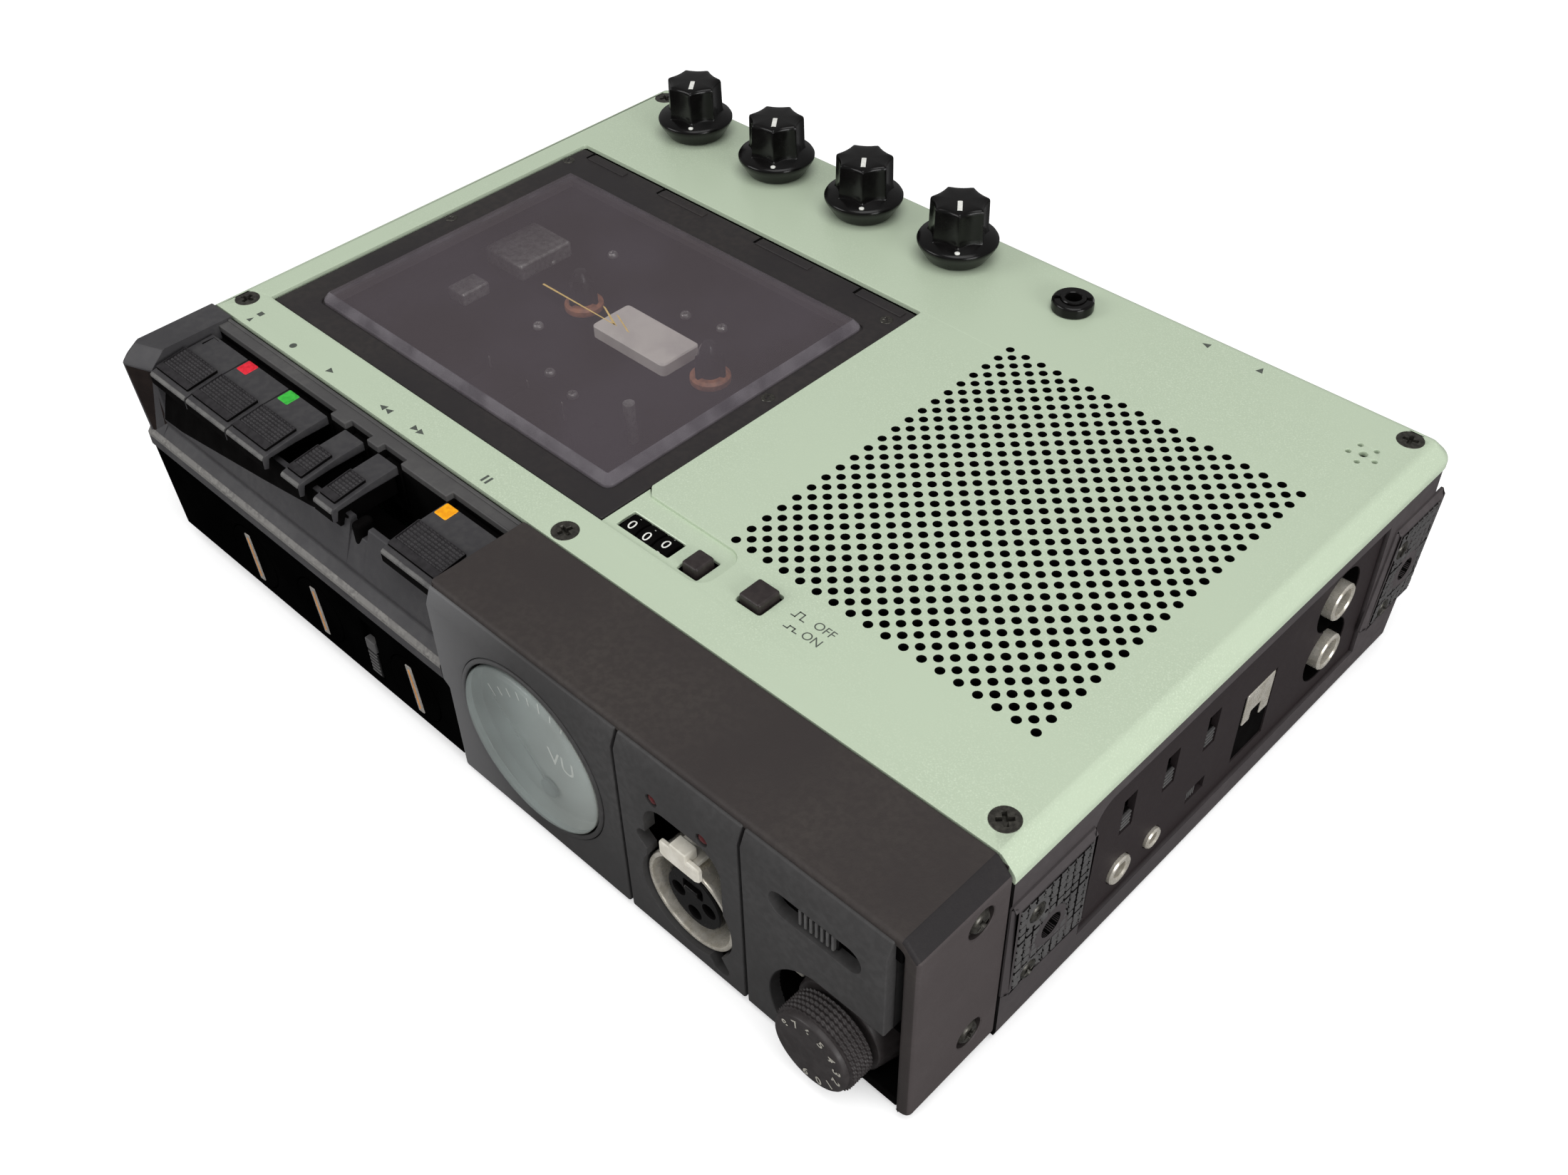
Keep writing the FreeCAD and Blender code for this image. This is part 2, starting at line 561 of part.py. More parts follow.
def potentiometers():
    """The turning controls' bodies and shafts: four on top, three behind the window, one for level."""
    made = []
    for x in KNOB_X:
        body = box((x - 6, x + 6), (KNOB_Y - 6, KNOB_Y + 6), (40.5, 47.5))
        neck = rod(3.4, (x, KNOB_Y, 47.4), (x, KNOB_Y, 50.4))
        shaft = rod(KNOB_SHAFT_R, (x, KNOB_Y, 47.4), (x, KNOB_Y, 59.5))
        made.append(fuse(body, neck, shaft))
    for x in WINDOW_KNOB_X:
        body = box((x - 5, x + 5), (-75.8, -68), (WINDOW_KNOB_Z - 5, WINDOW_KNOB_Z + 5))
        shaft = rod(2.0, (x, -78.6, WINDOW_KNOB_Z), (x, -70, WINDOW_KNOB_Z))
        made.append(fuse(body, shaft))
    body = box((LEVEL_X - 7, LEVEL_X + 7), (WELL_FLOOR + 1.6, -58.6), (LEVEL_Z - 6.5, LEVEL_Z + 7))
    shaft = rod(KNOB_SHAFT_R, (LEVEL_X, -81.4, LEVEL_Z), (LEVEL_X, -60, LEVEL_Z))
    made.append(fuse(body, shaft))
    return Part.makeCompound(made)


def top_knob(x):
    """A seven sided knob with hollowed sides on a round skirt, its corner and line towards the pointer."""
    z0 = TOP + 0.5
    skirt = lathe(
        [(0, 0), (7.2, 0), (9.2, 2.6), (9.4, 3.9), (9.1, 4.4), (7.4, 5.0), (0, 5.4)], (x, KNOB_Y, z0), Z
    )
    body = cone(7.2, 6.9, (x, KNOB_Y, z0 + 4.4), (x, KNOB_Y, z0 + 14.2))
    pointer = -52.0
    flutes = []
    for i in range(KNOB_SIDES):
        angle = math.radians(pointer + 360 / KNOB_SIDES * (i + 0.5))
        cx, cy = x + 15.4 * math.cos(angle), KNOB_Y + 15.4 * math.sin(angle)
        flutes.append(cone(9.45, 9.65, (cx, cy, z0 + 5.3), (cx, cy, z0 + 14.3)))
    body = cut(body, *flutes)
    bore = rod(KNOB_SHAFT_R + RUNNING, (x, KNOB_Y, 40), (x, KNOB_Y, 60))
    neck = rod(3.8, (x, KNOB_Y, 40), (x, KNOB_Y, 50.8))
    return cut(fuse(skirt, body), bore, neck)


def window_knob(x):
    """A flat round knob with a raised pointer bar across its face."""
    disc = rod(WINDOW_KNOB_R, (x, -80.0, WINDOW_KNOB_Z), (x, -78.6, WINDOW_KNOB_Z))
    bar = box((x - 0.7, x + 0.7), (-80.3, -79.9), (WINDOW_KNOB_Z - 6, WINDOW_KNOB_Z + 6))
    neck = rod(3.1, (x, -78.7, WINDOW_KNOB_Z), (x, -76.2, WINDOW_KNOB_Z))
    bore = rod(2.0 + RUNNING, (x, -78.9, WINDOW_KNOB_Z), (x, -70, WINDOW_KNOB_Z))
    return cut(fuse(disc, bar, neck), bore)


def tone_slider():
    """The small slider in the window's upright slot."""
    grip = box((TONE_X - 1.9, TONE_X + 1.9), (-80.0, -78.5), (7.0, 16.8))
    ribs = [box((TONE_X - 3, TONE_X + 3), (-81, -79.7), (8.0 + 1.2 * i, 8.5 + 1.2 * i)) for i in range(7)]
    stem = box((TONE_X - 0.8, TONE_X + 0.8), (-79.0, -74.0), (10.6, 13.2))
    return fuse(cut(grip, *ribs), stem)


def key(left, right):
    """A key: flat rear, raised ridged pad, front lip, and an arm back to the key shaft."""
    profile = [
        (-61.7, 48.6), (-68.2, 48.2), (-68.5, 48.9), (-76.2, 47.9), (-77.4, 47.4), (-77.8, 46.9), (-77.9, 43.9),
        (-76.8, 43.7), (-76.4, 46.0), (-70.0, 46.4), (-61.7, 46.4),
    ]
    cap = side_profile(profile, left, right)
    inset = 0.5
    rear_cut = [
        box((left - 1, left + inset), (-77, -68.3), (48.15, 50)), box((right - inset, right + 1), (-77, -68.3), (48.15, 50)),
    ]
    ridges = [box((left - 1, right + 1), (-69.5 - 0.8 * i, -69.1 - 0.8 * i), (48.3, 50)) for i in range(8)]
    tilt = math.degrees(math.atan2(1.0, 7.7))
    pad_grooves = Part.makeCompound(ridges)
    pad_grooves.rotate(V(0, -68.5, 48.9), X, tilt)
    pad_grooves.translate(V(0, 0, 0.45))
    cap = cut(cap, *rear_cut).cut(pad_grooves)
    middle = (left + right) / 2
    arm = box((middle - 1.8, middle + 1.8), (-62.5, -51.0), (39.6, 44.0))
    riser = box((middle - 1.8, middle + 1.8), (-64.0, -62.0), (39.6, 46.8))
    eye = rod(3.0, (middle - 1.8, KEY_PIVOT_Y, KEY_PIVOT_Z), (middle + 1.8, KEY_PIVOT_Y, KEY_PIVOT_Z))
    bore = rod(KEY_SHAFT_R + RUNNING, (middle - 5, KEY_PIVOT_Y, KEY_PIVOT_Z), (middle + 5, KEY_PIVOT_Y, KEY_PIVOT_Z))
    return cut(fuse(cap, arm, riser, eye), bore)


def pivot_rods():
    """The key shaft, the door's hinge pin and the counter's axle."""
    key_shaft = rod(KEY_SHAFT_R, (-104.5, KEY_PIVOT_Y, KEY_PIVOT_Z), (-2.0, KEY_PIVOT_Y, KEY_PIVOT_Z))
    hinge_pin = rod(HINGE_PIN_R, (-104.6, HINGE_Y, HINGE_Z), (7.7, HINGE_Y, HINGE_Z))
    counter_axle = rod(1.0, (8.8, COUNTER_Y, COUNTER_Z), (24.6, COUNTER_Y, COUNTER_Z))
    return Part.makeCompound([key_shaft, hinge_pin, counter_axle])


def deck_plate():
    """The cassette well: floor, low walls, and the holes for the hubs, capstan and hinge pin."""
    outer = box((BAY_X[0] - 1.4, BAY_X[1] + 1.3), (BAY_Y[0] - 1.4, BAY_Y[1] + 1.4), (DECK_FLOOR[0], 48.8))
    inner = box((BAY_X[0], BAY_X[1]), BAY_Y, (DECK_FLOOR[1], 60))
    tub = cut(outer, inner)
    reflector = box((-57.5, -34.5), (6.6, 18.2), (DECK_FLOOR[1] - 0.2, DECK_FLOOR[1] + 0.6))
    brackets = [
        box((8.4, 9.4), (-48.5, -38), (40, 48.6)), box((24.2, 25.2), (-48.5, -38), (40, 48.6)),
        box((8.4, 25.2), (-48.5, -47.4), (40, 48.6)), box((-104.9, -103.6), (-53.5, -47.2), (36.4, 46.0)),
        box((-3.0, -1.8), (-53.5, -47.2), (36.4, 46.0)),
    ]
    tub = fuse(tub, reflector, *brackets)
    holes = [
        rod(HINGE_PIN_R + RUNNING, (-120, HINGE_Y, HINGE_Z), (20, HINGE_Y, HINGE_Z)),
        rod(1.0 + RUNNING, (8, COUNTER_Y, COUNTER_Z), (26, COUNTER_Y, COUNTER_Z)),
        rod(KEY_SHAFT_R + RUNNING, (-120, KEY_PIVOT_Y, KEY_PIVOT_Z), (0, KEY_PIVOT_Y, KEY_PIVOT_Z)),
        rod(CAPSTAN_R + 0.08, (*CAPSTAN, 30), (*CAPSTAN, 40)),
    ]
    for side in (-1, 1):
        x = HUB_MID_X + side * HUB_SPACING / 2
        holes.append(rod(1.5 + RUNNING, (x, HUB_Y, 30), (x, HUB_Y, 40)))
    return cut(tub, *holes)


def hub(x):
    """A reel hub: a round base, a finned spindle and its shaft through the deck."""
    base = lathe([(0, 0), (4.6, 0), (4.6, 1.2), (3.9, 1.8), (0, 1.8)], (x, HUB_Y, DECK_FLOOR[1] + 0.3), Z)
    spindle = lathe(
        [(0, 0), (2.6, 0), (2.6, 6.2), (1.5, 8.4), (0, 8.6)], (x, HUB_Y, DECK_FLOOR[1] + 1.8), Z
    )
    shaft = rod(1.5, (x, HUB_Y, DECK_FLOOR[0] - 5), (x, HUB_Y, DECK_FLOOR[1] + 1))
    pulley = rod(7.0, (x, HUB_Y, DECK_FLOOR[0] - 4.5), (x, HUB_Y, DECK_FLOOR[0] - 1.0))
    fins = []
    for i in range(3):
        fin = box((x + 1, x + 3.7), (HUB_Y - 0.5, HUB_Y + 0.5), (DECK_FLOOR[1] + 1.6, DECK_FLOOR[1] + 6.6))
        fin.rotate(V(x, HUB_Y, 0), Z, 120 * i)
        fins.append(fin)
    return fuse(base, spindle, shaft, pulley, *fins)


def flywheel():
    """The heavy flywheel under the deck and the capstan that rises from it."""
    x, y = CAPSTAN
    wheel = lathe([(0, 22.0), (FLYWHEEL_R, 22.0), (FLYWHEEL_R, 27.0), (4.0, 27.0), (4.0, 29.0), (0, 29.0)], (x, y, 0), Z)
    return fuse(wheel, rod(CAPSTAN_R, (x, y, 28), (x, y, 46.5)))


def pinch_roller():
    """The rubber roller in front of the capstan, held open."""
    x = CAPSTAN[0]
    tyre = cut(rod(PINCH_R, (x, PINCH_Y, 38.4), (x, PINCH_Y, 45.6)), rod(1.0 + RUNNING, (x, PINCH_Y, 30), (x, PINCH_Y, 60)))
    return tyre


def tape_heads():
    """Three tape heads on one bracket, which also carries the roller's pin."""
    bracket = box((-68, -10), (-34.5, -18.0), (DECK_FLOOR[1] + 0.2, DECK_FLOOR[1] + 1.2))
    blocks = [bracket]
    for x in HEADS_X:
        block = box((x - 5, x + 5), (-33.0, HEAD_Y), (DECK_FLOOR[1] + 1, DECK_FLOOR[1] + 9.5))
        nose = edges_where(block, lambda e: upright(e) and e.Vertexes[0].Point.y > HEAD_Y - 0.1)
        blocks.append(block.makeFillet(3.0, nose))
    x = CAPSTAN[0]
    blocks.append(rod(1.0, (x, PINCH_Y, DECK_FLOOR[1] + 1), (x, PINCH_Y, 46.4)))
    capstan_gap = rod(CAPSTAN_R + 0.4, (*CAPSTAN, 30), (*CAPSTAN, 50))
    return cut(fuse(*blocks), capstan_gap)


def motor():
    """The motor can with a round well in its top for the shaft."""
    can = lathe([(0, 8.6), (14.0, 8.6), (14.0, 21.0), (13.0, 22.0), (0, 22.0)], (*MOTOR, 0), Z)
    return cut(can, rod(MOTOR_SHAFT_R + RUNNING, (*MOTOR, 12.0), (*MOTOR, 30)))


def motor_pulley():
    """The motor's shaft and the pulley that the belt runs on."""
    pulley = lathe(
        [(0, 22.8), (4.6, 22.8), (MOTOR_PULLEY_R, 23.4), (MOTOR_PULLEY_R, 26.4), (4.6, 27.0), (0, 27.0)],
        (*MOTOR, 0), Z,
    )
    return fuse(pulley, rod(MOTOR_SHAFT_R, (*MOTOR, 12.4), (*MOTOR, 27.6)))


def drive_belt():
    """The flat belt round the motor pulley and the flywheel: two arcs and two straight runs."""
    small, large = V(*MOTOR, 23.9), V(*CAPSTAN, 23.9)
    gap = 0.3

    def loop(grow):
        r0, r1 = MOTOR_PULLEY_R + gap + grow, FLYWHEEL_R + gap + grow
        line = large - small
        base = math.atan2(line.y, line.x)
        lean = math.acos((r0 - r1) / line.Length)
        around = []
        for sign in (1, -1):
            angle = base + sign * lean
            around.append(V(math.cos(angle), math.sin(angle), 0))
        up, down = around
        far = V(math.cos(base), math.sin(base), 0)
        edges = [
            Part.Arc(small + up * r0, small - far * r0, small + down * r0).toShape(),
            Part.LineSegment(small + down * r0, large + down * r1).toShape(),
            Part.Arc(large + down * r1, large + far * r1, large + up * r1).toShape(),
            Part.LineSegment(large + up * r1, small + up * r0).toShape(),
        ]
        return Part.Face(Part.Wire(edges)).extrude(Z * 2.0)

    return loop(1.0).cut(loop(0.0))


def circuit_board():
    """The main board with its taller parts."""
    board = box((-104, 18), (-50, 74), (6.0, 7.6))
    parts = [board]
    for x, y, w, d, h in ((-95, -40, 30, 12, 7), (-50, -40, 24, 16, 6), (-92, -10, 16, 16, 9), (-30, 60, 18, 12, 10)):
        parts.append(box((x, x + w), (y, y + d), (7.5, 7.6 + h)))
    for x, y in ((-10, -40), (0, -30), (8, 40), (-60, 66), (4, 66)):
        parts.append(rod(4.0, (x, y, 7.5), (x, y, 17)))
    return fuse(*parts)


def speaker():
    """The round loudspeaker under the grille."""
    x = GRILLE_X + (GRILLE_COLUMNS - 1) * GRILLE_PITCH / 2
    y = GRILLE_Y - (GRILLE_ROWS - 1) * GRILLE_PITCH / 2
    profile = [
        (0, 26.0), (15.0, 26.0), (15.0, 35.0), (20.0, 36.0), (32.0, 45.0), (34.0, 45.0), (34.0, 48.0), (31.0, 48.0),
        (30.0, 46.4), (10.0, 39.0), (7.0, 41.0), (0, 42.0),
    ]
    return lathe(profile, (x, y, 0), Z)


def counter_wheel(index):
    """One digit wheel of the tape counter."""
    x = 10.3 + 4.4 * index
    wheel = rod(COUNTER_R, (x, COUNTER_Y, COUNTER_Z), (x + 3.9, COUNTER_Y, COUNTER_Z))
    return cut(wheel, rod(1.0 + RUNNING, (x - 1, COUNTER_Y, COUNTER_Z), (x + 5, COUNTER_Y, COUNTER_Z)))


def push_button(centre, size_x, size_y, top):
    """A square button cap on a stem, with a flange under the cover."""
    x, y = centre
    cap = box((x - size_x / 2, x + size_x / 2), (y - size_y / 2, y + size_y / 2), (44.5, top))
    top_edges = edges_where(cap, lambda e: e.BoundBox.ZMin > top - 1e-6)
    cap = cap.makeFillet(0.5, top_edges)
    stem = box((x - 1.2, x + 1.2), (y - 1.2, y + 1.2), (36.0, 45.0))
    return fuse(cap, stem)


def echo_jack():
    """The threaded 3.5 mm jack on the cover, with its ring nut and its body below."""
    x, y = ECHO_JACK
    body = box((x - 4.5, x + 4.5), (y - 4.5, y + 4.5), (36.0, 48.6))
    neck = rod(3.0, (x, y, 48.5), (x, y, 53.0))
    nut = lathe([(0, TOP), (4.1, TOP), (4.1, 52.2), (3.7, 52.6), (0, 52.6)], (x, y, 0), Z)
    slot = box((x - 6, x + 6), (y - 0.5, y + 0.5), (51.6, 54))
    nut = cut(nut, slot)
    bore = rod(JACK_BORE_R, (x, y, 38.0), (x, y, 60))
    return cut(fuse(body, nut, neck), bore)


def cassette_door():
    """The door frame with its window opening, four hinge slots and the bore for the hinge pin."""
    frame = box(DOOR_X, DOOR_Y, DOOR_Z)
    opening = box(
        (DOOR_WINDOW_X[0] + DOOR_FRAME_LAP, DOOR_WINDOW_X[1] - DOOR_FRAME_LAP),
        (DOOR_WINDOW_Y[0] + DOOR_FRAME_LAP, DOOR_WINDOW_Y[1] - DOOR_FRAME_LAP), (40, 60),
    )
    slots = []
    for left, right in ((-99.0, -86.0), (-73.2, -57.7), (-40.1, -23.4), (-8.9, 4.5)):
        slots.append(box((left, right), (43.6, 44.3), (48.6, 60)))
    pin = rod(HINGE_PIN_R + RUNNING, (-120, HINGE_Y, HINGE_Z), (20, HINGE_Y, HINGE_Z))
    return cut(frame, opening, pin, *slots)


def door_window():
    """The clear block that stands on the door frame, bevelled all round, with a tongue through it."""
    block = box(DOOR_WINDOW_X, DOOR_WINDOW_Y, (DOOR_Z[1], DOOR_WINDOW_TOP))
    top_edges = edges_where(block, lambda e: e.BoundBox.ZMin > DOOR_WINDOW_TOP - 1e-6)
    block = block.makeChamfer(1.3, top_edges)
    lap = DOOR_FRAME_LAP + 0.2
    tongue = box(
        (DOOR_WINDOW_X[0] + lap, DOOR_WINDOW_X[1] - lap), (DOOR_WINDOW_Y[0] + lap, DOOR_WINDOW_Y[1] - lap),
        (DOOR_Z[0] + 0.8, DOOR_Z[1] + 0.1),
    )
    return fuse(block, tongue)


def side_switch(y):
    """A ribbed slider in one of the tall side slots."""
    z = SWITCH_Z[0] + 2.3
    grip = box((109.0, 112.4), (y - 1.5, y + 1.5), (z - 1.9, z + 1.9))
    ribs = [box((112.0, 113), (y - 2, y + 2), (z - 1.3 + 1.1 * i, z - 0.9 + 1.1 * i)) for i in range(3)]
    plate = box((109.2, 110.4), (y - 3.0, y + 3.0), (z - 4.0, z + 9.0))
    return fuse(cut(grip, *ribs), plate)


def monitor_switch():
    """The small slider in the low side slot."""
    y, z = MONITOR_Y[0] + 1.8, (MONITOR_Z[0] + MONITOR_Z[1]) / 2
    grip = box((109.0, 112.4), (y - 1.5, y + 1.5), (z - 1.3, z + 1.3))
    ribs = [box((112.0, 113), (y - 1.0 + 0.9 * i, y - 0.6 + 0.9 * i), (z - 2, z + 2)) for i in range(3)]
    plate = box((109.2, 110.4), (y - 2.8, y + 6.2), (z - 2.4, z + 2.4))
    return fuse(cut(grip, *ribs), plate)


def round_jack(place, bore, ring, length):
    """A round socket on the right side: a ring outside and a body inside."""
    y, z = place
    ring_part = rod(ring, (109.0, y, z), (113.6, y, z))
    body = box((113.0 - length - 3, 110.2), (y - 4, y + 4), (z - 4, z + 4))
    hole = rod(bore, (113.0 - length, y, z), (120, y, z))
    return cut(fuse(ring_part, body), hole)


def line_jack(z):
    """A line socket: a metal barrel on a round plate, with the centre contact's hole."""
    plate = rod(LINE_WELL_R + 1.2, (109.0, LINE_JACK_Y, z), (110.4, LINE_JACK_Y, z))
    barrel = rod(4.15, (102.0, LINE_JACK_Y, z), (114.0, LINE_JACK_Y, z))
    hole = rod(1.7, (106.0, LINE_JACK_Y, z), (120, LINE_JACK_Y, z))
    middle = sum(LINE_JACK_Z) / 2
    half = box((100, 120), (30, 70), (middle + 0.02, 60) if z > middle else (0, middle - 0.02))
    return cut(fuse(plate, barrel).common(half), hole)


def side_jacks():
    """The microphone, remote, modular and two line sockets of the right side."""
    return Part.makeCompound(
        [round_jack(MIC_JACK, JACK_BORE_R, 3.2, 9.0), round_jack(REMOTE_JACK, 1.3, 2.3, 9.0)]
        + [line_jack(z) for z in LINE_JACK_Z] + [phone_jack()]
    )


def phone_jack():
    """The modular line socket: a shell with a square well in its lower half."""
    shell = box((98.0, 112.4), (PHONE_Y[0] + 0.2, PHONE_Y[1] - 0.2), (PHONE_Z[0] + 0.2, PHONE_Z[1] - 0.2))
    well = box((102.0, 120), (18.4, 26.2), (11.6, 20.2))
    clip = box((106.0, 120), (20.8, 23.8), (20.0, 24.6))
    return cut(shell, well, clip)


def strap_plate(outline, middle):
    """A strap plate: bevelled edges, a grid of shallow grooves, the strap's hole and two screw holes."""
    back = HALF_WIDTH
    plate = side_profile(outline, back, back + LUG_OUT)
    rim = edges_where(plate, lambda e: e.BoundBox.XMin > back + LUG_OUT - 1e-6)
    plate = plate.makeChamfer(1.0, rim)
    low, high = outline[3][0], outline[1][0]
    grooves = []
    y = low + 2.6
    while y < high - 2.6:
        grooves.append(box((back + LUG_OUT - 0.3, 120), (y, y + 0.4), (LUG_Z[0] + 2.4, LUG_Z[1] - 2.4)))
        y += 2.1
    z = LUG_Z[0] + 3.4
    while z < LUG_Z[1] - 2.6:
        grooves.append(box((back + LUG_OUT - 0.3, 120), (low + 1.4, high - 1.4), (z, z + 0.4)))
        z += 2.1
    holes = [rod(2.6, (100, middle, 24.0), (120, middle, 24.0))]
    for dy, z in lug_screw_places(middle):
        holes.append(rod(2.9, (back - 5, dy, z), (120, dy, z)))
    return cut(plate, *grooves, *holes)


def lug_screw_places(middle):
    return [(middle - 4.4, 31.9), (middle - 4.9, 16.2)]


def strap_plates():
    return Part.makeCompound([strap_plate(*plate) for plate in zip(LUG_OUTLINES, LUG_MIDDLES_Y)])


def cross(centre, axis, size, depth):
    """The cross recess of a screw head, cut down from the head's top."""
    c = V(*centre)
    arms = []
    for a, b in ((size, size * 0.28), (size * 0.28, size)):
        if axis == Z:
            arms.append(Part.makeBox(a, b, depth * 2, c - V(a / 2, b / 2, depth)))
        else:
            arms.append(Part.makeBox(depth * 2, a, b, c - V(depth, a / 2, b / 2)))
    return arms


def case_screws():
    """The cover's countersunk screws and the side's round headed screws."""
    made = []
    for x, y in COVER_SCREWS:
        head = cone(1.5, 2.6, (x, y, COVER_UNDER + 0.1), (x, y, TOP - 0.1))
        made.append(cut(fuse(head, rod(1.5, (x, y, 41), (x, y, COVER_UNDER + 0.2))), *cross((x, y, TOP - 0.1), Z, 2.8, 0.8)))
    for y, z in MODULE_SCREWS:
        face = HALF_WIDTH - 1.0
        head = lathe([(0, 0), (2.7, 0), (2.5, 0.8), (1.4, 1.4), (0, 1.5)], (face, y, z), X)
        made.append(cut(fuse(head, rod(1.5, (105, y, z), (face + 0.2, y, z))), *cross((face + 1.5, y, z), X, 2.6, 1.0)))
    for middle in LUG_MIDDLES_Y:
        for y, z in lug_screw_places(middle):
            head = lathe([(0, 0), (2.7, 0), (2.5, 1.0), (1.4, 1.6), (0, 1.7)], (HALF_WIDTH, y, z), X)
            made.append(cut(head, *cross((HALF_WIDTH + 1.7, y, z), X, 2.6, 1.0)))
    return Part.makeCompound(made)


def build():
    os.makedirs("parts", exist_ok=True)
    save("bottom_case", bottom_case())
    save("feet", feet())
    save("top_cover", top_cover())
    save("front_cover", front_cover())
    save("key_housing", key_housing())
    save("front_window", front_window())
    save("vu_block", vu_block())
    save("mic_panel", mic_panel())
    save("level_panel", level_panel())
    save("meter_case", meter_case())
    save("meter_lens", meter_lens())
    save("meter_needle", meter_needle())
    save("xlr_socket", xlr_socket())
    save("xlr_latch", xlr_latch())
    save("record_knob", record_knob())
    save("mode_ring", mode_ring())
    save("speed_slider", speed_slider())
    save("signal_lamps", lamps())
    save("potentiometers", potentiometers())
    for i, x in enumerate(KNOB_X):
        save("top_knob_%d" % (i + 1), top_knob(x))
    for i, x in enumerate(WINDOW_KNOB_X):
        save("window_knob_%d" % (i + 1), window_knob(x))
    save("tone_slider", tone_slider())
    for name, left, right in KEYS:
        save(name, key(left, right))
    save("pivot_rods", pivot_rods())
    save("deck_plate", deck_plate())
    save("supply_hub", hub(HUB_MID_X - HUB_SPACING / 2))
    save("takeup_hub", hub(HUB_MID_X + HUB_SPACING / 2))
    save("flywheel", flywheel())
    save("pinch_roller", pinch_roller())
    save("tape_heads", tape_heads())
    save("motor", motor())
    save("motor_pulley", motor_pulley())
    save("drive_belt", drive_belt())
    save("circuit_board", circuit_board())
    save("speaker", speaker())
    for i in range(3):
        save("counter_wheel_%d" % (i + 1), counter_wheel(i))
    save("reset_button", push_button(RESET, 4.0, 4.8, 50.9))
    save("memory_button", push_button(MEMORY, 5.2, 5.6, 51.6))
    save("echo_jack", echo_jack())
    save("cassette_door", cassette_door())
    save("door_window", door_window())
    for i, y in enumerate(SWITCH_Y):
        save("side_switch_%d" % (i + 1), side_switch(y))
    save("monitor_switch", monitor_switch())
    save("side_jacks", side_jacks())
    save("strap_plates", strap_plates())
    save("case_screws", case_screws())


build()
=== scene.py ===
import math

import bmesh
import bpy
import numpy as np
from mathutils import Matrix, Vector
from mathutils.geometry import tessellate_polygon


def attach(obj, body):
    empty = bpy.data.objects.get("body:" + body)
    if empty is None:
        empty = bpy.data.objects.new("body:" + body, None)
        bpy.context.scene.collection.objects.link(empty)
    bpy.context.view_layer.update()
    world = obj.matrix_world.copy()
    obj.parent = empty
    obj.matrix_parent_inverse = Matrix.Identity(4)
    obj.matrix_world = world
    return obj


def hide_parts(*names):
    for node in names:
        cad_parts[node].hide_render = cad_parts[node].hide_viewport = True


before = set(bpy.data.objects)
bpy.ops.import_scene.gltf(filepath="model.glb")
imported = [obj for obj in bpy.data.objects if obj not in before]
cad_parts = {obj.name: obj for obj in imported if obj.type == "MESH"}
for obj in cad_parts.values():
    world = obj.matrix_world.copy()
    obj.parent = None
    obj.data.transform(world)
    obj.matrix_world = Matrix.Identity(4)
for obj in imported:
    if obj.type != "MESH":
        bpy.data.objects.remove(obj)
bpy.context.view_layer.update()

# Cassette tape echo unit. Lengths are millimetres in the machine's own frame: +X to the side with
# the line sockets, +Y to the back, +Z up, the table at zero. piece() turns them into metres.

MM = 0.001
TOP = 50.0
SHEET = 1.1
COVER_HALF = 114.1
COVER_FRONT = -55.8
COVER_BACK = 85.0
LIP_BOTTOM = 44.8
GRILLE = (30.1, 49.4, 4.1, 18, 21, 0.86)
KNOBS_X = (-87.6, -59.0, -30.4, -1.8)
KNOBS_Y = 70.4
COVER_SCREWS = ((-107.8, -49.7), (4.6, -52.5), (107.2, -50.1), (106.8, 78.5), (-107.6, 78.3))
HUBS_X = (-65.2, -22.7)
HUB_Y = 11.3
LEVEL = (97.2, 11.6)
XLR = (63.6, 15.8)
METER = (23.1, 25.1)
NEEDLE_PIVOT_Z = 12.2
NEEDLE_REST = 132
PANEL_FACE = -80.1
PANEL_BEND = 45.4
ECHO_JACK = (30.4, 70.8)
MIC_HOLES = (102.3, 68.2)
LAMPS_X = (56.9, 69.0)
LAMPS_Z = 39.0
LEVEL_OPENING = 13.4
LINE_SOCKETS_Y = 48.6
LINE_SOCKETS_Z = (31.2, 17.5)
SMALL_JACKS = ((-20.6, 13.5, 3.2, 1.8), (-10.1, 12.7, 2.3, 1.3))
PHOTO_WIDTH = 2200
PHOTO_FOCAL = 2278.86
MODULE_SCREWS = ((-63.2, 42.2), (-63.4, 11.0))
ARROW = (
    ((-61.0, -2.35), (-61.0, -2.85), (-37.2, -2.58), (-37.2, -2.3)),
    ((-44.6, 0.65), (-43.7, 0.65), (-36.3, -2.55), (-37.6, -2.55)),
    ((-40.0, 0.42), (-39.2, 0.42), (-32.5, -2.35), (-33.4, -2.35)),
)
WINDOW_KNOBS_X = (-73.7, -49.0, -15.8)
WINDOW_KNOBS_Z = 13.0
LUG_OUTLINES = (
    ((-55.9, 13.4), (-33.4, 13.4), (-33.4, 38.6), (-55.9, 38.6)),
    ((61.6, 13.4), (80.9, 13.4), (84.2, 38.6), (65.4, 38.6)),
)
LUG_MIDDLES = (-44.9, 73.45)
LUG_HOLE_Z = 24.0
LUG_SCREWS = ((-49.3, 31.9), (-49.8, 16.2), (69.05, 31.9), (68.55, 16.2))
KEYS = (
    ("stop_key", "stop", -103.3, -89.4, None),
    ("record_key", "record", -89.0, -73.9, "red"),
    ("play_key", "play", -73.5, -59.8, "green"),
    ("rewind_key", "rewind", -53.5, -47.2, None),
    ("forward_key", "forward", -42.2, -35.8, None),
    ("pause_key", "pause", -19.9, -4.0, "amber"),
)
AXIS_ORDER = {"z": (0, 1, 2), "y": (0, 2, 1), "x": (1, 2, 0)}


# Surfaces


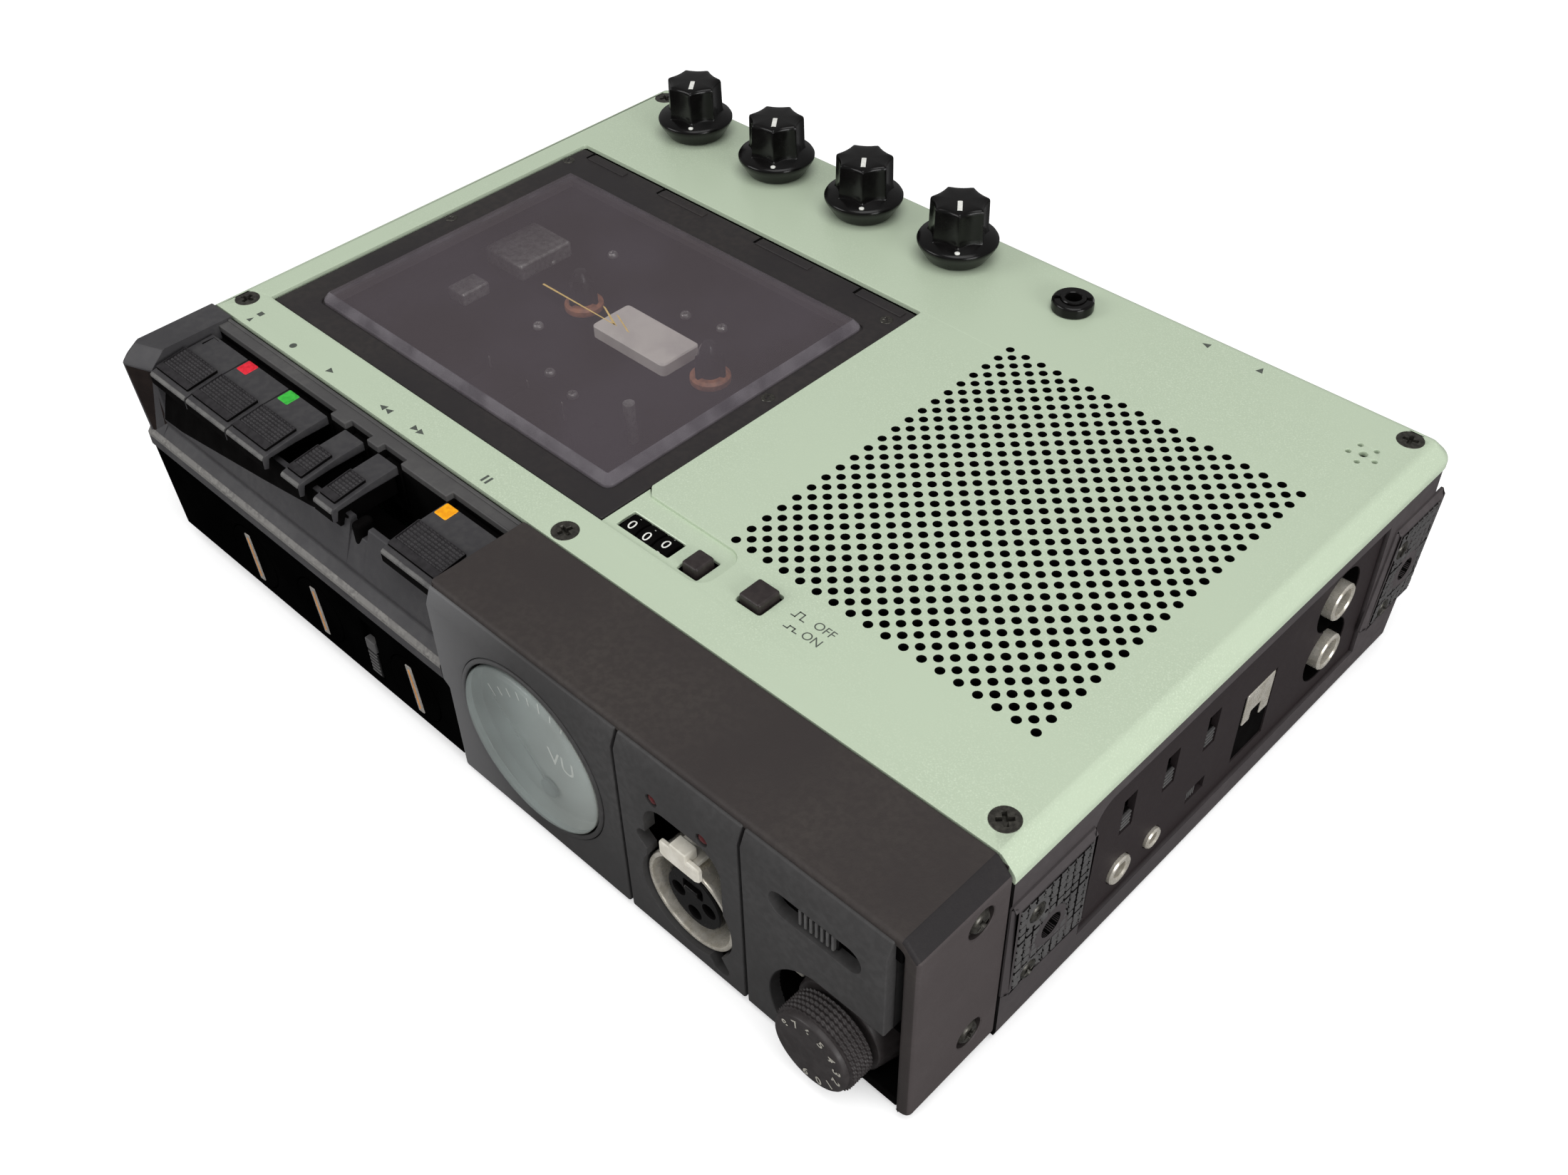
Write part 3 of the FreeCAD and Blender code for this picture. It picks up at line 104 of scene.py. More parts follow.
def lay(axis, u, v, h):
    """Puts plane coordinates u, v and height h on the axes: height runs along the named axis."""
    u, v, h = np.broadcast_arrays(u, v, h)
    order = {"z": (u, v, h), "y": (u, h, v), "x": (h, u, v)}[axis]
    return np.stack(order, axis=-1).astype(float)


def rounded(corners, steps=5):
    """Outline through corners (u, v, radius), anticlockwise.

    Each corner becomes an arc of its radius that touches both of its sides: the arc's centre lies
    on the corner's bisector at radius / sin(half angle). Gives points and outward unit normals.
    """
    corners = np.array(corners, float)
    points, normals = [], []
    for i, (u, v, r) in enumerate(corners):
        here = np.array([u, v])
        to_last = corners[i - 1, :2] - here
        to_next = corners[(i + 1) % len(corners), :2] - here
        to_last /= np.linalg.norm(to_last)
        to_next /= np.linalg.norm(to_next)
        turn = to_last[1] * to_next[0] - to_last[0] * to_next[1]
        half = math.acos(np.clip(to_last @ to_next, -1, 1)) / 2
        if r == 0 or abs(turn) < 1e-6:
            side = to_next - to_last
            side /= np.linalg.norm(side)
            points.append(here[None])
            normals.append(np.array([[side[1], -side[0]]]))
            continue
        bisector = to_last + to_next
        bisector /= np.linalg.norm(bisector)
        centre = here + bisector * r / math.sin(half)
        first = here + to_last * r / math.tan(half) - centre
        last = here + to_next * r / math.tan(half) - centre
        a0 = math.atan2(first[1], first[0])
        sweep = (math.atan2(last[1], last[0]) - a0 + math.pi) % (2 * math.pi) - math.pi
        angles = a0 + sweep * np.linspace(0, 1, steps + 1)
        ray = np.stack([np.cos(angles), np.sin(angles)], -1)
        points.append(centre + r * ray)
        normals.append(ray if turn > 0 else -ray)
    return np.concatenate(points), np.concatenate(normals)


def direction(angle):
    """Unit vectors along an angle in radians and a quarter turn on from it."""
    c, s = math.cos(angle), math.sin(angle)
    return np.array([c, s]), np.array([-s, c])


def rectangle(u0, v0, u1, v1, r=0.5, steps=5):
    """Outline between two opposite corners, with corner radius r."""
    return rounded([(u0, v0, r), (u1, v0, r), (u1, v1, r), (u0, v1, r)], steps)


def circle(u, v, r, count=48, start=0.0):
    """Points at equal angles on a circle, with their outward normals."""
    angles = start + np.arange(count) * 2 * math.pi / count
    ray = np.stack([np.cos(angles), np.sin(angles)], -1)
    return np.array([u, v]) + r * ray, ray


def plus(u, v, arm, half, turn=0.0):
    """The outline of a cross with four arms, turned by an angle in radians."""
    a, b = arm, half
    corners = np.array([(a, -b), (a, b), (b, b), (b, a), (-b, a), (-b, b), (-a, b), (-a, -b),
                        (-b, -b), (-b, -a), (b, -a), (b, -b)], float)
    spin = np.array([[math.cos(turn), math.sin(turn)], [-math.sin(turn), math.cos(turn)]])
    corners = corners @ spin + np.array([u, v])
    return rounded(np.column_stack([corners, np.full(12, 0.08)]), 2)


def edge(depth, height, low, high, steps=4):
    """Profile of a plate's side from low to high with a quarter round of the given depth at its top."""
    t = np.linspace(0, math.pi / 2, steps + 1)
    inset = depth * (1 - np.cos(t))
    rise = high - height + height * np.sin(t)
    return [(0.0, low)] + list(zip(inset, rise))


class Skin:
    """Collects the points, faces and paint numbers of one piece."""

    def __init__(self):
        self.points, self.faces, self.paints, self.count = [], [], [], 0

    def add(self, points, faces, paint=0):
        """Adds points and faces, whose numbers count from the piece's last point so far."""
        points = np.asarray(points, float).reshape(-1, 3)
        faces = np.asarray(faces, int)
        self.points.append(points)
        self.faces.append(faces + self.count)
        self.paints.append(np.broadcast_to(paint, (len(faces),)))
        self.count += len(points)
        return self

    def grid(self, rows, closed=False, paint=0, keep=None):
        """Makes each square of four neighbouring points in rows (n, m, 3) a face, unless keep is False."""
        n, m = rows.shape[:2]
        i, j = np.meshgrid(np.arange(n - 1), np.arange(m if closed else m - 1), indexing="ij")
        a, b = i * m + j, i * m + (j + 1) % m
        faces = np.stack([a, b, b + m, a + m], -1).reshape(-1, 4)
        if keep is not None:
            paint = np.broadcast_to(paint, (len(faces),))[keep.ravel()]
            faces = faces[keep.ravel()]
        return self.add(rows, faces, paint)

    def repaint(self, rule):
        """Gives each face the paint number that the rule works out from its middle."""
        points = np.concatenate(self.points)
        self.paints = [rule(points[faces].mean(axis=1)) for faces in self.faces]
        return self

    def flat(self, loops, paint=0):
        """Fills the first outline, less the others, in whichever plane they face most."""
        loops = [np.asarray(loop, float) for loop in loops]
        spans = np.ptp(loops[0], axis=0)
        keep = [k for k in range(3) if k != int(np.argmin(spans))]
        flat = [[Vector((p[keep[0]], p[keep[1]], 0)) for p in loop] for loop in loops]
        return self.add(np.concatenate(loops), tessellate_polygon(flat), paint)

    def slab(self, line, profile, axis="z", holes=(), paint=0, caps=(True, True), window=None):
        """An outline carried up a profile of (inset, height) pairs and closed by two flat ends.

        A hole is (outline, profile of (growth, height) pairs, kind, paint): kind "through" opens both
        ends, "top" only the high end and leaves its foot open, "blind" the high end with a floor.
        A window is (j, loops): the tallest face of outline side j is filled less those loops.
        """
        points, normals = line
        profile = np.array(profile, float)
        rows = self.rings(points, normals, profile, axis, -1)
        if window:
            side, loops = window
            tall = int(np.argmax(np.abs(np.diff(profile[:, 1]))))
            keep = np.ones((len(rows) - 1, rows.shape[1]), bool)
            keep[tall, side] = False
            self.grid(rows, True, paint, keep)
            after = (side + 1) % rows.shape[1]
            corners = [rows[tall, side], rows[tall, after], rows[tall + 1, after], rows[tall + 1, side]]
            self.flat([np.array(corners)] + list(loops), paint)
        else:
            self.grid(rows, True, paint)
        tops, feet = [rows[-1]], [rows[0]]
        for (hole_points, hole_normals), hole_profile, kind, hole_paint in holes:
            wall = self.rings(hole_points, hole_normals, np.array(hole_profile, float), axis, 1)
            self.grid(wall, True, hole_paint)
            tops.append(wall[-1])
            if kind == "through":
                feet.append(wall[0])
            if kind == "blind":
                self.flat([wall[0]], hole_paint)
        if caps[0]:
            self.flat(feet, paint)
        if caps[1]:
            self.flat(tops, paint)
        return self

    @staticmethod
    def rings(points, normals, profile, axis, sign):
        """One ring for each profile pair: every outline point moved along its normal by the first number."""
        moved = points[None] + sign * profile[:, 0, None, None] * normals[None]
        return lay(axis, moved[..., 0], moved[..., 1], profile[:, 1, None])

    def block(self, low, high, r=0.3, axis="z", paint=0, corner=None):
        """A box whose edges along the height and round both ends are rounded."""
        u, v, h = AXIS_ORDER[axis]
        line = rectangle(low[u], low[v], high[u], high[v], r if corner is None else corner, 4)
        t = np.linspace(0, math.pi / 2, 4)
        foot = list(zip(r * (1 - np.sin(t)), low[h] + r * (1 - np.cos(t))))
        head = list(zip(r * (1 - np.cos(t)), high[h] - r + r * np.sin(t)))
        return self.slab(line, foot + head, axis, paint=paint)

    def lathe(self, profile, centre, axis="z", count=64, paint=0):
        """(radius, height) pairs turned once round the axis: x = r cos a, y = r sin a at each height."""
        profile = np.array(profile, float)
        a = np.arange(count) * 2 * math.pi / count
        u, v = profile[:, :1] * np.cos(a), profile[:, :1] * np.sin(a)
        c = AXIS_ORDER[axis]
        rows = lay(axis, centre[c[0]] + u, centre[c[1]] + v, centre[c[2]] + profile[:, 1:])
        return self.grid(rows, True, paint)

    def sweep(self, section, path, paint=0):
        """A (y, z) section carried straight along the x values of path, with flat ends."""
        section = np.asarray(section, float)
        path = np.asarray(path, float)
        rows = np.stack(np.broadcast_arrays(path[:, None], section[None, :, 0], section[None, :, 1]), -1)
        self.grid(rows, True, paint)
        self.flat([rows[0]], paint)
        return self.flat([rows[-1]], paint)


def piece(name, skin, finishes, body="case", nodes=(), angle=32, turn=True):
    """Makes the mesh, welds its seams, points its faces outward, and hands it to its body."""
    mesh = bpy.data.meshes.new(name)
    points = np.concatenate(skin.points) * MM
    faces = [face for group in skin.faces for face in group.tolist()]
    mesh.from_pydata(points.tolist(), [], faces)
    mesh.polygons.foreach_set("material_index", np.concatenate(skin.paints).astype(np.int32))
    work = bmesh.new()
    work.from_mesh(mesh)
    bmesh.ops.remove_doubles(work, verts=work.verts, dist=2e-6)
    bmesh.ops.dissolve_degenerate(work, edges=work.edges, dist=1e-6)
    if turn:
        bmesh.ops.recalc_face_normals(work, faces=work.faces)
    work.to_mesh(mesh)
    work.free()
    mesh.polygons.foreach_set("use_smooth", np.ones(len(mesh.polygons), bool))
    mesh.set_sharp_from_angle(angle=math.radians(angle))
    for finish in finishes if isinstance(finishes, (list, tuple)) else [finishes]:
        mesh.materials.append(finish.material)
    made = bpy.data.objects.new(name, mesh)
    bpy.context.scene.collection.objects.link(made)
    weighted = made.modifiers.new("even_shading", "WEIGHTED_NORMAL")
    weighted.keep_sharp = True
    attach(made, body)
    if nodes:
        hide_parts(*nodes)
    return made


def lettering(text, size, spin, u, v, height, axis, centre=True, bold=0.0):
    """Plain figures as flat faces: a text outline filled, turned by spin degrees, and laid at (u, v)."""
    words = bpy.data.curves.new("figures", "FONT")
    words.body = text
    words.size = size
    words.offset = bold
    words.align_x = "CENTER" if centre else "LEFT"
    words.align_y = "CENTER"
    holder = bpy.data.objects.new("figures", words)
    mesh = bpy.data.meshes.new_from_object(holder)
    points = np.empty(len(mesh.vertices) * 3)
    mesh.vertices.foreach_get("co", points)
    points = points.reshape(-1, 3)
    a = math.radians(spin)
    pu = u + points[:, 0] * math.cos(a) - points[:, 1] * math.sin(a)
    pv = v + points[:, 0] * math.sin(a) + points[:, 1] * math.cos(a)
    faces = [list(face.vertices) for face in mesh.polygons]
    placed = lay(axis, pu, pv, height)
    bpy.data.objects.remove(holder)
    bpy.data.meshes.remove(mesh)
    return placed, faces


def add_faces(skin, points, faces, paint=0):
    """Adds faces of any number of corners, each cut into a fan of triangles."""
    fans = [(f[0], f[i], f[i + 1]) for f in faces for i in range(1, len(f) - 1)]
    return skin.add(points, fans, paint)


# Finishes


def tone(red, green, blue):
    """A colour given as 0 to 255 display values, as linear light."""
    c = np.array([red, green, blue]) / 255
    return tuple(np.where(c <= 0.04045, c / 12.92, ((c + 0.055) / 1.055) ** 2.4))


class Finish:
    """A surface finish: one shader whose colour, gloss and grain vary over the piece's own millimetres."""

    def __init__(self, name, colour, roughness=0.5, **sockets):
        self.material = bpy.data.materials.new(name)
        self.material.use_nodes = True
        self.tree = self.material.node_tree
        self.shader = self.tree.nodes["Principled BSDF"]
        self.colour = colour
        self.shader.inputs["Base Color"].default_value = (*colour, 1)
        self.shader.inputs["Roughness"].default_value = roughness
        for key, value in sockets.items():
            self.shader.inputs[key.replace("_", " ")].default_value = value
        self.place = self.tree.nodes.new("ShaderNodeTexCoord").outputs["Object"]
        self.last_bump = None
        self.last_colour = None

    def scaled(self, size):
        """The object's own coordinates, counted in steps of size millimetres."""
        mapping = self.tree.nodes.new("ShaderNodeMapping")
        mapping.inputs["Scale"].default_value = [1000 / size] * 3
        self.tree.links.new(self.place, mapping.inputs["Vector"])
        return mapping.outputs["Vector"]

    def noise(self, size, detail=3.0):
        """Soft random values, with lumps about size millimetres across."""
        node = self.tree.nodes.new("ShaderNodeTexNoise")
        node.inputs["Scale"].default_value = 1.0
        node.inputs["Detail"].default_value = detail
        self.tree.links.new(self.scaled(size), node.inputs["Vector"])
        return node.outputs["Fac"]

    def fit(self, value, low, high, to_low, to_high):
        """Straight line from low..high to to_low..to_high, held at its ends."""
        node = self.tree.nodes.new("ShaderNodeMapRange")
        for key, number in (("From Min", low), ("From Max", high), ("To Min", to_low), ("To Max", to_high)):
            node.inputs[key].default_value = number
        self.tree.links.new(value, node.inputs["Value"])
        return node.outputs["Result"]

    def mottle(self, size, colour, low=0.4, high=0.62, detail=4.0, value=None):
        """Drifts the colour towards a second one over lumps of the given size."""
        mix = self.tree.nodes.new("ShaderNodeMix")
        mix.data_type = "RGBA"
        value = self.noise(size, detail) if value is None else value
        self.tree.links.new(self.fit(value, low, high, 0, 1), mix.inputs["Factor"])
        if self.last_colour is None:
            mix.inputs["A"].default_value = (*self.colour, 1)
        else:
            self.tree.links.new(self.last_colour, mix.inputs["A"])
        mix.inputs["B"].default_value = (*colour, 1)
        self.last_colour = mix.outputs["Result"]
        self.tree.links.new(self.last_colour, self.shader.inputs["Base Color"])
        return self

    def along(self, axis, low, high):
        """Runs from 0 to 1 while one object coordinate goes from low to high millimetres."""
        split = self.tree.nodes.new("ShaderNodeSeparateXYZ")
        self.tree.links.new(self.place, split.inputs[0])
        return self.fit(split.outputs[axis], low * MM, high * MM, 0, 1)

    def gloss(self, size, smooth, rough):
        """Lets the roughness wander between two values."""
        value = self.fit(self.noise(size, 4.0), 0.35, 0.65, smooth, rough)
        self.tree.links.new(value, self.shader.inputs["Roughness"])
        return self

    def grain(self, size, depth, detail=2.0):
        """Raises and lowers the surface by depth millimetres over lumps of the given size."""
        bump = self.tree.nodes.new("ShaderNodeBump")
        bump.inputs["Distance"].default_value = depth * MM
        self.tree.links.new(self.noise(size, detail), bump.inputs["Height"])
        if self.last_bump is not None:
            self.tree.links.new(self.last_bump, bump.inputs["Normal"])
        self.last_bump = bump.outputs["Normal"]
        self.tree.links.new(self.last_bump, self.shader.inputs["Normal"])
        return self


green_paint = Finish("green_paint", tone(190, 205, 180), 0.36, Metallic=0.08, Coat_Weight=0.22,
                     Coat_Roughness=0.14)
green_paint.mottle(0.32, tone(212, 225, 202), 0.5, 0.78, 2.0).mottle(45, tone(194, 209, 184))
green_paint.gloss(0.3, 0.3, 0.46)
green_paint.grain(0.26, 0.004).grain(7, 0.004)

strip_plastic = Finish("strip_plastic", tone(58, 53, 51), 0.6, Specular_IOR_Level=0.22)
strip_plastic.mottle(1.2, tone(65, 60, 57)).mottle(40, tone(55, 50, 49)).gloss(8, 0.54, 0.66)
strip_plastic.grain(0.36, 0.032, 1.5).grain(0.9, 0.014)

panel_plastic = Finish("panel_plastic", tone(62, 61, 61), 0.52, Specular_IOR_Level=0.22)
panel_plastic.mottle(1.4, tone(68, 67, 67)).mottle(30, tone(59, 58, 58))
# Lighter towards the left end, from x 22 to fully at x -6: painted light on the meter block's left end.
panel_plastic.mottle(1, tone(106, 106, 107), 0, 1, value=panel_plastic.along("X", 22, -6))
panel_plastic.gloss(10, 0.46, 0.58)
panel_plastic.grain(0.22, 0.012, 1.5).grain(2.4, 0.004)

housing_plastic = Finish("housing_plastic", tone(66, 65, 67), 0.5, Specular_IOR_Level=0.22)
housing_plastic.mottle(1.8, tone(72, 71, 72)).mottle(30, tone(62, 61, 63)).gloss(9, 0.44, 0.58)
housing_plastic.grain(0.3, 0.018, 1.5)

strip_grey = Finish("strip_grey", tone(80, 79, 79), 0.5, Specular_IOR_Level=0.22)
strip_grey.mottle(1.8, tone(87, 86, 85)).mottle(30, tone(76, 75, 75)).gloss(9, 0.44, 0.58)
strip_grey.grain(0.3, 0.018, 1.5)

# Pale grey for the apron's lip: a painted highlight where the rounded lip catches the light, mottled with
# speckled wear.
lit_and_worn_edge = Finish("lit_and_worn_edge", tone(128, 126, 122), 0.5, Specular_IOR_Level=0.3)
lit_and_worn_edge.mottle(0.8, tone(98, 96, 94), 0.42, 0.6).mottle(5, tone(116, 114, 111)).grain(0.5, 0.03)

cheek_brown = Finish("cheek_brown", tone(26, 19, 17), 0.3, Specular_IOR_Level=0.2)
cheek_brown.mottle(3.0, tone(33, 25, 22)).gloss(4, 0.24, 0.4).grain(0.5, 0.01)

case_plastic = Finish("case_plastic", tone(72, 67, 68), 0.55, Specular_IOR_Level=0.2)
case_plastic.mottle(2.0, tone(77, 72, 73)).mottle(40, tone(68, 64, 65))
# Darker from x 113 in to x 109, over the sunk side panel, then a lesser darkening inboard of x 108: painted
# shade.
case_plastic.mottle(1, tone(46, 40, 41), 0, 1, value=case_plastic.along("X", 113.5, 113.0))
case_plastic.mottle(1, tone(58, 54, 55), 0, 1, value=case_plastic.along("X", 109.0, 108.0))
case_plastic.gloss(12, 0.46, 0.62).grain(0.3, 0.02, 1.5)

key_plastic = Finish("key_plastic", tone(60, 59, 61), 0.46, Specular_IOR_Level=0.24)
key_plastic.mottle(1.5, tone(66, 65, 66)).gloss(5, 0.38, 0.52).grain(0.2, 0.008)

dark_void = Finish("dark_void", tone(9, 8, 8), 0.9, Specular_IOR_Level=0.02)
dark_void.mottle(4, tone(13, 12, 12)).grain(0.6, 0.02)

knob_black = Finish("knob_black", tone(10, 9, 9), 0.2, Specular_IOR_Level=0.2, Coat_Weight=0.07,
                    Coat_Roughness=0.08)
knob_black.mottle(4, tone(14, 13, 13)).gloss(3, 0.16, 0.28).grain(1.4, 0.005).grain(0.15, 0.001)

white_print = Finish("white_print", tone(236, 236, 230), 0.5)
white_print.mottle(0.6, tone(220, 220, 214)).grain(0.2, 0.004)

gold_print = Finish("gold_print", tone(206, 178, 124), 0.42, Metallic=0.15)
gold_print.mottle(0.5, tone(184, 156, 104)).grain(0.15, 0.004)

grey_print = Finish("grey_print", tone(84, 90, 82), 0.5)
grey_print.mottle(0.5, tone(72, 78, 72)).grain(0.15, 0.003)

door_plastic = Finish("door_plastic", tone(46, 43, 43), 0.5, Specular_IOR_Level=0.25)
door_plastic.mottle(1.6, tone(52, 48, 47)).mottle(30, tone(43, 40, 41)).gloss(8, 0.44, 0.56)
door_plastic.grain(0.3, 0.014, 1.5)

# The window block's pale violet colour is a smoky tint plus painted reflection: it stands for the haze of
# light reflected off the window.
smoke_clear = Finish("smoke_clear", tone(128, 118, 123), 0.08, IOR=1.49, Alpha=0.2, Specular_IOR_Level=0.2)
smoke_clear.mottle(26, tone(134, 124, 131)).gloss(6, 0.06, 0.12).grain(12, 0.004)

# The window's bevel is paler still: a painted highlight along it.
smoke_edge = Finish("smoke_edge", tone(142, 136, 143), 0.3, IOR=1.49, Alpha=0.4, Specular_IOR_Level=0.2)
smoke_edge.mottle(8, tone(112, 106, 113)).gloss(3, 0.26, 0.36).grain(3.0, 0.003)

nickel = Finish("nickel", tone(222, 217, 206), 0.26, Metallic=0.55)
nickel.mottle(2.0, tone(204, 198, 184)).gloss(1.2, 0.2, 0.32).grain(0.6, 0.002)

screw_black = Finish("screw_black", tone(56, 54, 50), 0.34, Metallic=0.6)
screw_black.mottle(0.8, tone(78, 76, 70)).gloss(0.7, 0.24, 0.45).grain(0.3, 0.006)

window_black = Finish("window_black", tone(3, 3, 3), 0.3, Specular_IOR_Level=0.0)
window_black.mottle(12, tone(5, 5, 5)).gloss(5, 0.24, 0.36).grain(8, 0.002)

reflector_grey = Finish("reflector_grey", tone(228, 220, 214), 0.5)
reflector_grey.mottle(6, tone(216, 208, 203)).grain(0.6, 0.01)

hub_brown = Finish("hub_brown", tone(172, 112, 78), 0.45)
hub_brown.mottle(1.6, tone(142, 90, 62)).grain(0.4, 0.01)

steel_grey = Finish("steel_grey", tone(150, 148, 146), 0.35, Metallic=0.7)
steel_grey.mottle(1.5, tone(120, 118, 116)).gloss(1.0, 0.25, 0.5).grain(0.25, 0.006)

lamp_red = Finish("lamp_red", tone(92, 14, 18), 0.18, Coat_Weight=0.4)
lamp_red.mottle(0.7, tone(60, 8, 12)).grain(0.4, 0.004)

red_mark = Finish("red_mark", tone(232, 40, 58), 0.4, Specular_IOR_Level=0.3)
red_mark.mottle(1.0, tone(206, 28, 46)).grain(0.3, 0.006)
green_mark = Finish("green_mark", tone(62, 190, 66), 0.4, Specular_IOR_Level=0.3)
green_mark.mottle(1.0, tone(50, 166, 56)).grain(0.3, 0.006)
amber_mark = Finish("amber_mark", tone(255, 178, 16), 0.4, Specular_IOR_Level=0.3)
amber_mark.mottle(1.0, tone(240, 154, 12)).grain(0.3, 0.006)

orange_line = Finish("orange_line", tone(222, 146, 60), 0.4)
orange_line.mottle(0.5, tone(196, 124, 52)).grain(0.2, 0.004)

pointer_cream = Finish("pointer_cream", tone(150, 146, 141), 0.4)
pointer_cream.mottle(0.6, tone(132, 128, 122)).grain(0.2, 0.004)

button_grey = Finish("button_grey", tone(44, 38, 38), 0.42, Specular_IOR_Level=0.3)
button_grey.mottle(1.6, tone(52, 46, 45)).gloss(1.2, 0.34, 0.5).grain(0.3, 0.01)

board_green = Finish("board_green", tone(34, 78, 50), 0.4)
board_green.mottle(3, tone(46, 94, 60), 0.5, 0.6).grain(0.6, 0.02)

dial_grey = Finish("dial_grey", tone(118, 126, 123), 0.6, Specular_IOR_Level=0.2)
dial_grey.mottle(14, tone(124, 131, 128))
# Lighter towards the right of the dial and darker towards its left: a painted highlight and painted shade.
dial_grey.mottle(1, tone(172, 175, 170), 0, 1, value=dial_grey.along("X", 14, 38))
dial_grey.mottle(1, tone(66, 70, 69), 0, 1, value=dial_grey.along("X", 20, 2)).grain(0.5, 0.006)

pointer_grey = Finish("pointer_grey", tone(106, 112, 110), 0.5, Specular_IOR_Level=0.1)
pointer_grey.mottle(3, tone(112, 118, 116)).grain(0.5, 0.003)

# Darker copy of key_plastic for the studded pad: partly painted shade among the studs, partly the studs' own
# texture.
pad_plastic = Finish("pad_plastic", tone(38, 36, 38), 0.46, Specular_IOR_Level=0.24)
pad_plastic.mottle(1.5, tone(47, 45, 47)).gloss(5, 0.38, 0.52).grain(0.2, 0.008)

# Light grey for the keys' front chamfer: a painted highlight where the chamfer catches the light.
step_highlight_grey = Finish("step_highlight_grey", tone(96, 95, 94), 0.5, Specular_IOR_Level=0.25)
step_highlight_grey.mottle(1.0, tone(80, 79, 79)).mottle(6, tone(106, 105, 103)).grain(0.4, 0.02)

# Darker copy of strip_plastic for the strip's sloping right corner: painted shade.
band_shade_plastic = Finish("band_shade_plastic", tone(45, 42, 43), 0.55, Specular_IOR_Level=0.15)
band_shade_plastic.mottle(1.2, tone(50, 47, 47)).mottle(40, tone(42, 40, 41)).grain(0.36, 0.03, 1.5)

# Lighter copy of strip_plastic for the strip's outer side wall: painted light.
wall_lit_plastic = Finish("wall_lit_plastic", tone(74, 68, 68), 0.6, Specular_IOR_Level=0.2)
wall_lit_plastic.mottle(1.2, tone(80, 74, 74)).mottle(40, tone(70, 64, 64)).gloss(8, 0.54, 0.66)
wall_lit_plastic.grain(0.36, 0.03, 1.5)

latch_cream = Finish("latch_cream", tone(228, 224, 212), 0.32)
latch_cream.mottle(3, tone(212, 207, 194)).gloss(2, 0.26, 0.4).grain(0.8, 0.01)

knob_face = Finish("knob_face", tone(50, 46, 46), 0.42, Specular_IOR_Level=0.3)
knob_face.mottle(2, tone(57, 53, 53)).gloss(3, 0.36, 0.5).grain(0.25, 0.006)

grey_mark = Finish("grey_mark", tone(172, 168, 158), 0.5)
grey_mark.mottle(0.5, tone(150, 147, 138)).grain(0.2, 0.003)

# The meter glass's pale grey-green colour gives its milky look: painted reflection of the bright
# surroundings.
lens_clear = Finish("lens_clear", tone(158, 165, 162), 0.06, IOR=1.49, Alpha=0.4, Specular_IOR_Level=0.3)
lens_clear.mottle(14, tone(176, 186, 183)).gloss(5, 0.04, 0.08).grain(14, 0.003)


# Top cover


def pan_path(inset):
    """The cover's side and back edges in plan, from front right to front left, moved inward.

    Straight side, a quarter circle of radius 4.3 less the inset at each back corner, straight back.
    """
    half, back = COVER_HALF - inset, COVER_BACK - inset
    r = max(4.3 - inset, 0.6)
    t = np.linspace(0, math.pi / 2, 9)
    right = np.stack([half - r + r * np.cos(t), back - r + r * np.sin(t)], -1)
    left = np.stack([-half + r - r * np.sin(t), back - r + r * np.cos(t)], -1)
    ends = np.array([[half, COVER_FRONT], [-half, COVER_FRONT]])
    return np.vstack([ends[:1], right, left, ends[1:]])


def grille_holes():
    """Two square lattices of one pitch, the second half a pitch along and down from the first."""
    x0, y0, pitch, columns, rows, r = GRILLE
    places = []
    for shift in (0, 1):
        i, j = np.meshgrid(np.arange(columns - shift), np.arange(rows - shift))
        x, y = x0 + pitch * (i + shift / 2), y0 - pitch * (j + shift / 2)
        places.append(np.stack([x, y], -1).reshape(-1, 2))
    return np.concatenate(places), r


